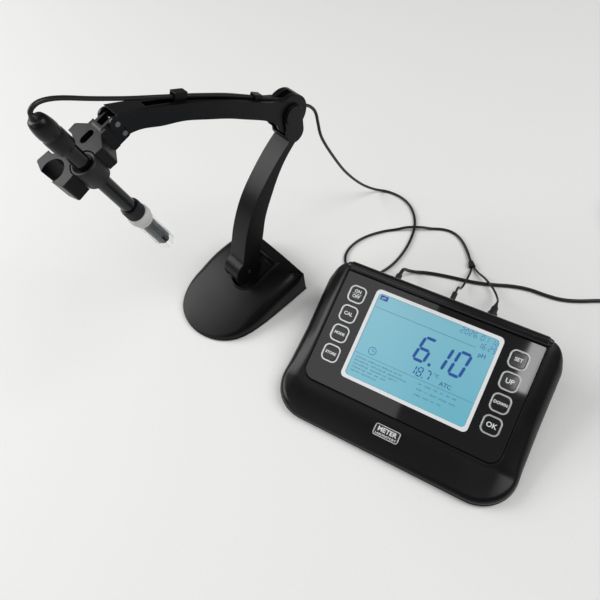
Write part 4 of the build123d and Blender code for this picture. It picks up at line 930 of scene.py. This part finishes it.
def badge_field():
    """The dark field of the badge: a thin plate with rounded corners."""
    outline, _ = rounded_plan(-12.0, 12.0, -5.1, 5.1, 1.2, 1.2, 6, 2)
    verts, faces = slabs([[lifted(badge_point, outline, n) for n in (0.58, 0.64)]])
    build("badge_field", verts, faces, INK_BLACK, "base", smooth=False)


badge_field()
print_text("badge_word", "METER", badge_matrix(0, 1.3, 0.66), 6.4, INK_WHITE, align="CENTER", bold=0.16,
           wide=1.02)
print_text("badge_line", "LABORATORY", badge_matrix(0, -3.5, 0.66), 2.8, INK_WHITE, align="CENTER", bold=0.05,
           wide=1.2)


def bnc_boot():
    """The rubber boot on the BNC plug's lead: (back, radius) stations carried round an axis that runs back
    from the console."""
    x, z, around = 45.0, 30.0, 40
    back, radius = np.array([(80.2, 4.0), (80.6, 5.0), (87.2, 5.0), (87.6, 3.8), (94.4, 3.55), (95.6, 2.6),
                             (100.5, 1.35)]).T[:, :, None]
    a = 2 * pi * np.arange(around) / around
    rings = console_point(x + radius * np.cos(a), back, z - radius * np.sin(a))
    verts, faces = ring_mesh(rings, True, True)
    build("bnc_boot", verts, faces, FINISH["rubber_black"], "base", sharp=50)


bnc_boot()

# ------------------------------------------------------------ floor, light and camera
floor_data = bpy.data.meshes.new("floor")
floor_data.from_pydata([(-6, -6, 0), (6, -6, 0), (6, 6, 0), (-6, 6, 0)], [], [(0, 1, 2, 3)])
floor = bpy.data.objects.new("floor", floor_data)
bpy.context.scene.collection.objects.link(floor)
floor_data.materials.append(plain("floor_pale", (0.86, 0.86, 0.855), 0.75))

world = bpy.data.worlds.new("studio")
bpy.context.scene.world = world
world.use_nodes = True
world.node_tree.nodes["Background"].inputs["Color"].default_value = (1.0, 1.0, 0.99, 1)
world.node_tree.nodes["Background"].inputs["Strength"].default_value = 0.17


def area_light(name, where, aim, size, power, color=(1, 1, 1)):
    """A rectangular light at a place in metres, aimed at another."""
    data = bpy.data.lights.new(name, "AREA")
    data.shape = "RECTANGLE"
    data.size, data.size_y = size
    data.energy = power
    data.color = color
    obj = bpy.data.objects.new(name, data)
    bpy.context.scene.collection.objects.link(obj)
    obj.location = where
    obj.rotation_euler = (Vector(aim) - Vector(where)).to_track_quat("-Z", "Y").to_euler()


WARM = (1.0, 1.0, 0.99)
area_light("ceiling_left", (-2.15, -0.5, 1.45), (-0.05, 0.0, 0.0), (1.5, 1.5), 46, WARM)
area_light("ceiling_right", (1.5, 0.6, 2.0), (0.05, 0.0, 0.0), (1.4, 1.8), 35, WARM)
area_light("front_soft", (-0.7, -1.7, 0.9), (-0.1, 0.0, 0.1), (1.2, 0.8), 5)
for name, right, back, size, power in (("panel_sheen", -0.385, -0.45, (0.52, 0.72), 1.1),
                                       ("panel_glint", 0.178, -0.27, (0.045, 0.16), 0.16)):
    x, y = CX * MM + right, CY * MM + back
    area_light(name, (x, y, 1.2), (x, y, 0.0), size, power)

camera_data = bpy.data.cameras.new("camera")
camera_data.lens = 33.0
camera_data.sensor_width = 36.0
camera = bpy.data.objects.new("camera", camera_data)
bpy.context.scene.collection.objects.link(camera)
axis_right = Vector((0.868, 0.4871, -0.0963)).normalized()
axis_back = Vector((0.331, -0.423, 0.8435)).normalized()
axis_up = axis_back.cross(axis_right).normalized()
axis_right = axis_up.cross(axis_back).normalized()
turn = Matrix((axis_right, axis_up, axis_back)).transposed().to_4x4()
camera_spot = console_point(55.4, -242.0, 539.4)
camera.matrix_world = Matrix.Translation(Vector(metres(camera_spot))) @ turn
bpy.context.scene.camera = camera
bpy.context.scene.view_settings.view_transform = "Standard"
bpy.context.scene.view_settings.look = "None"
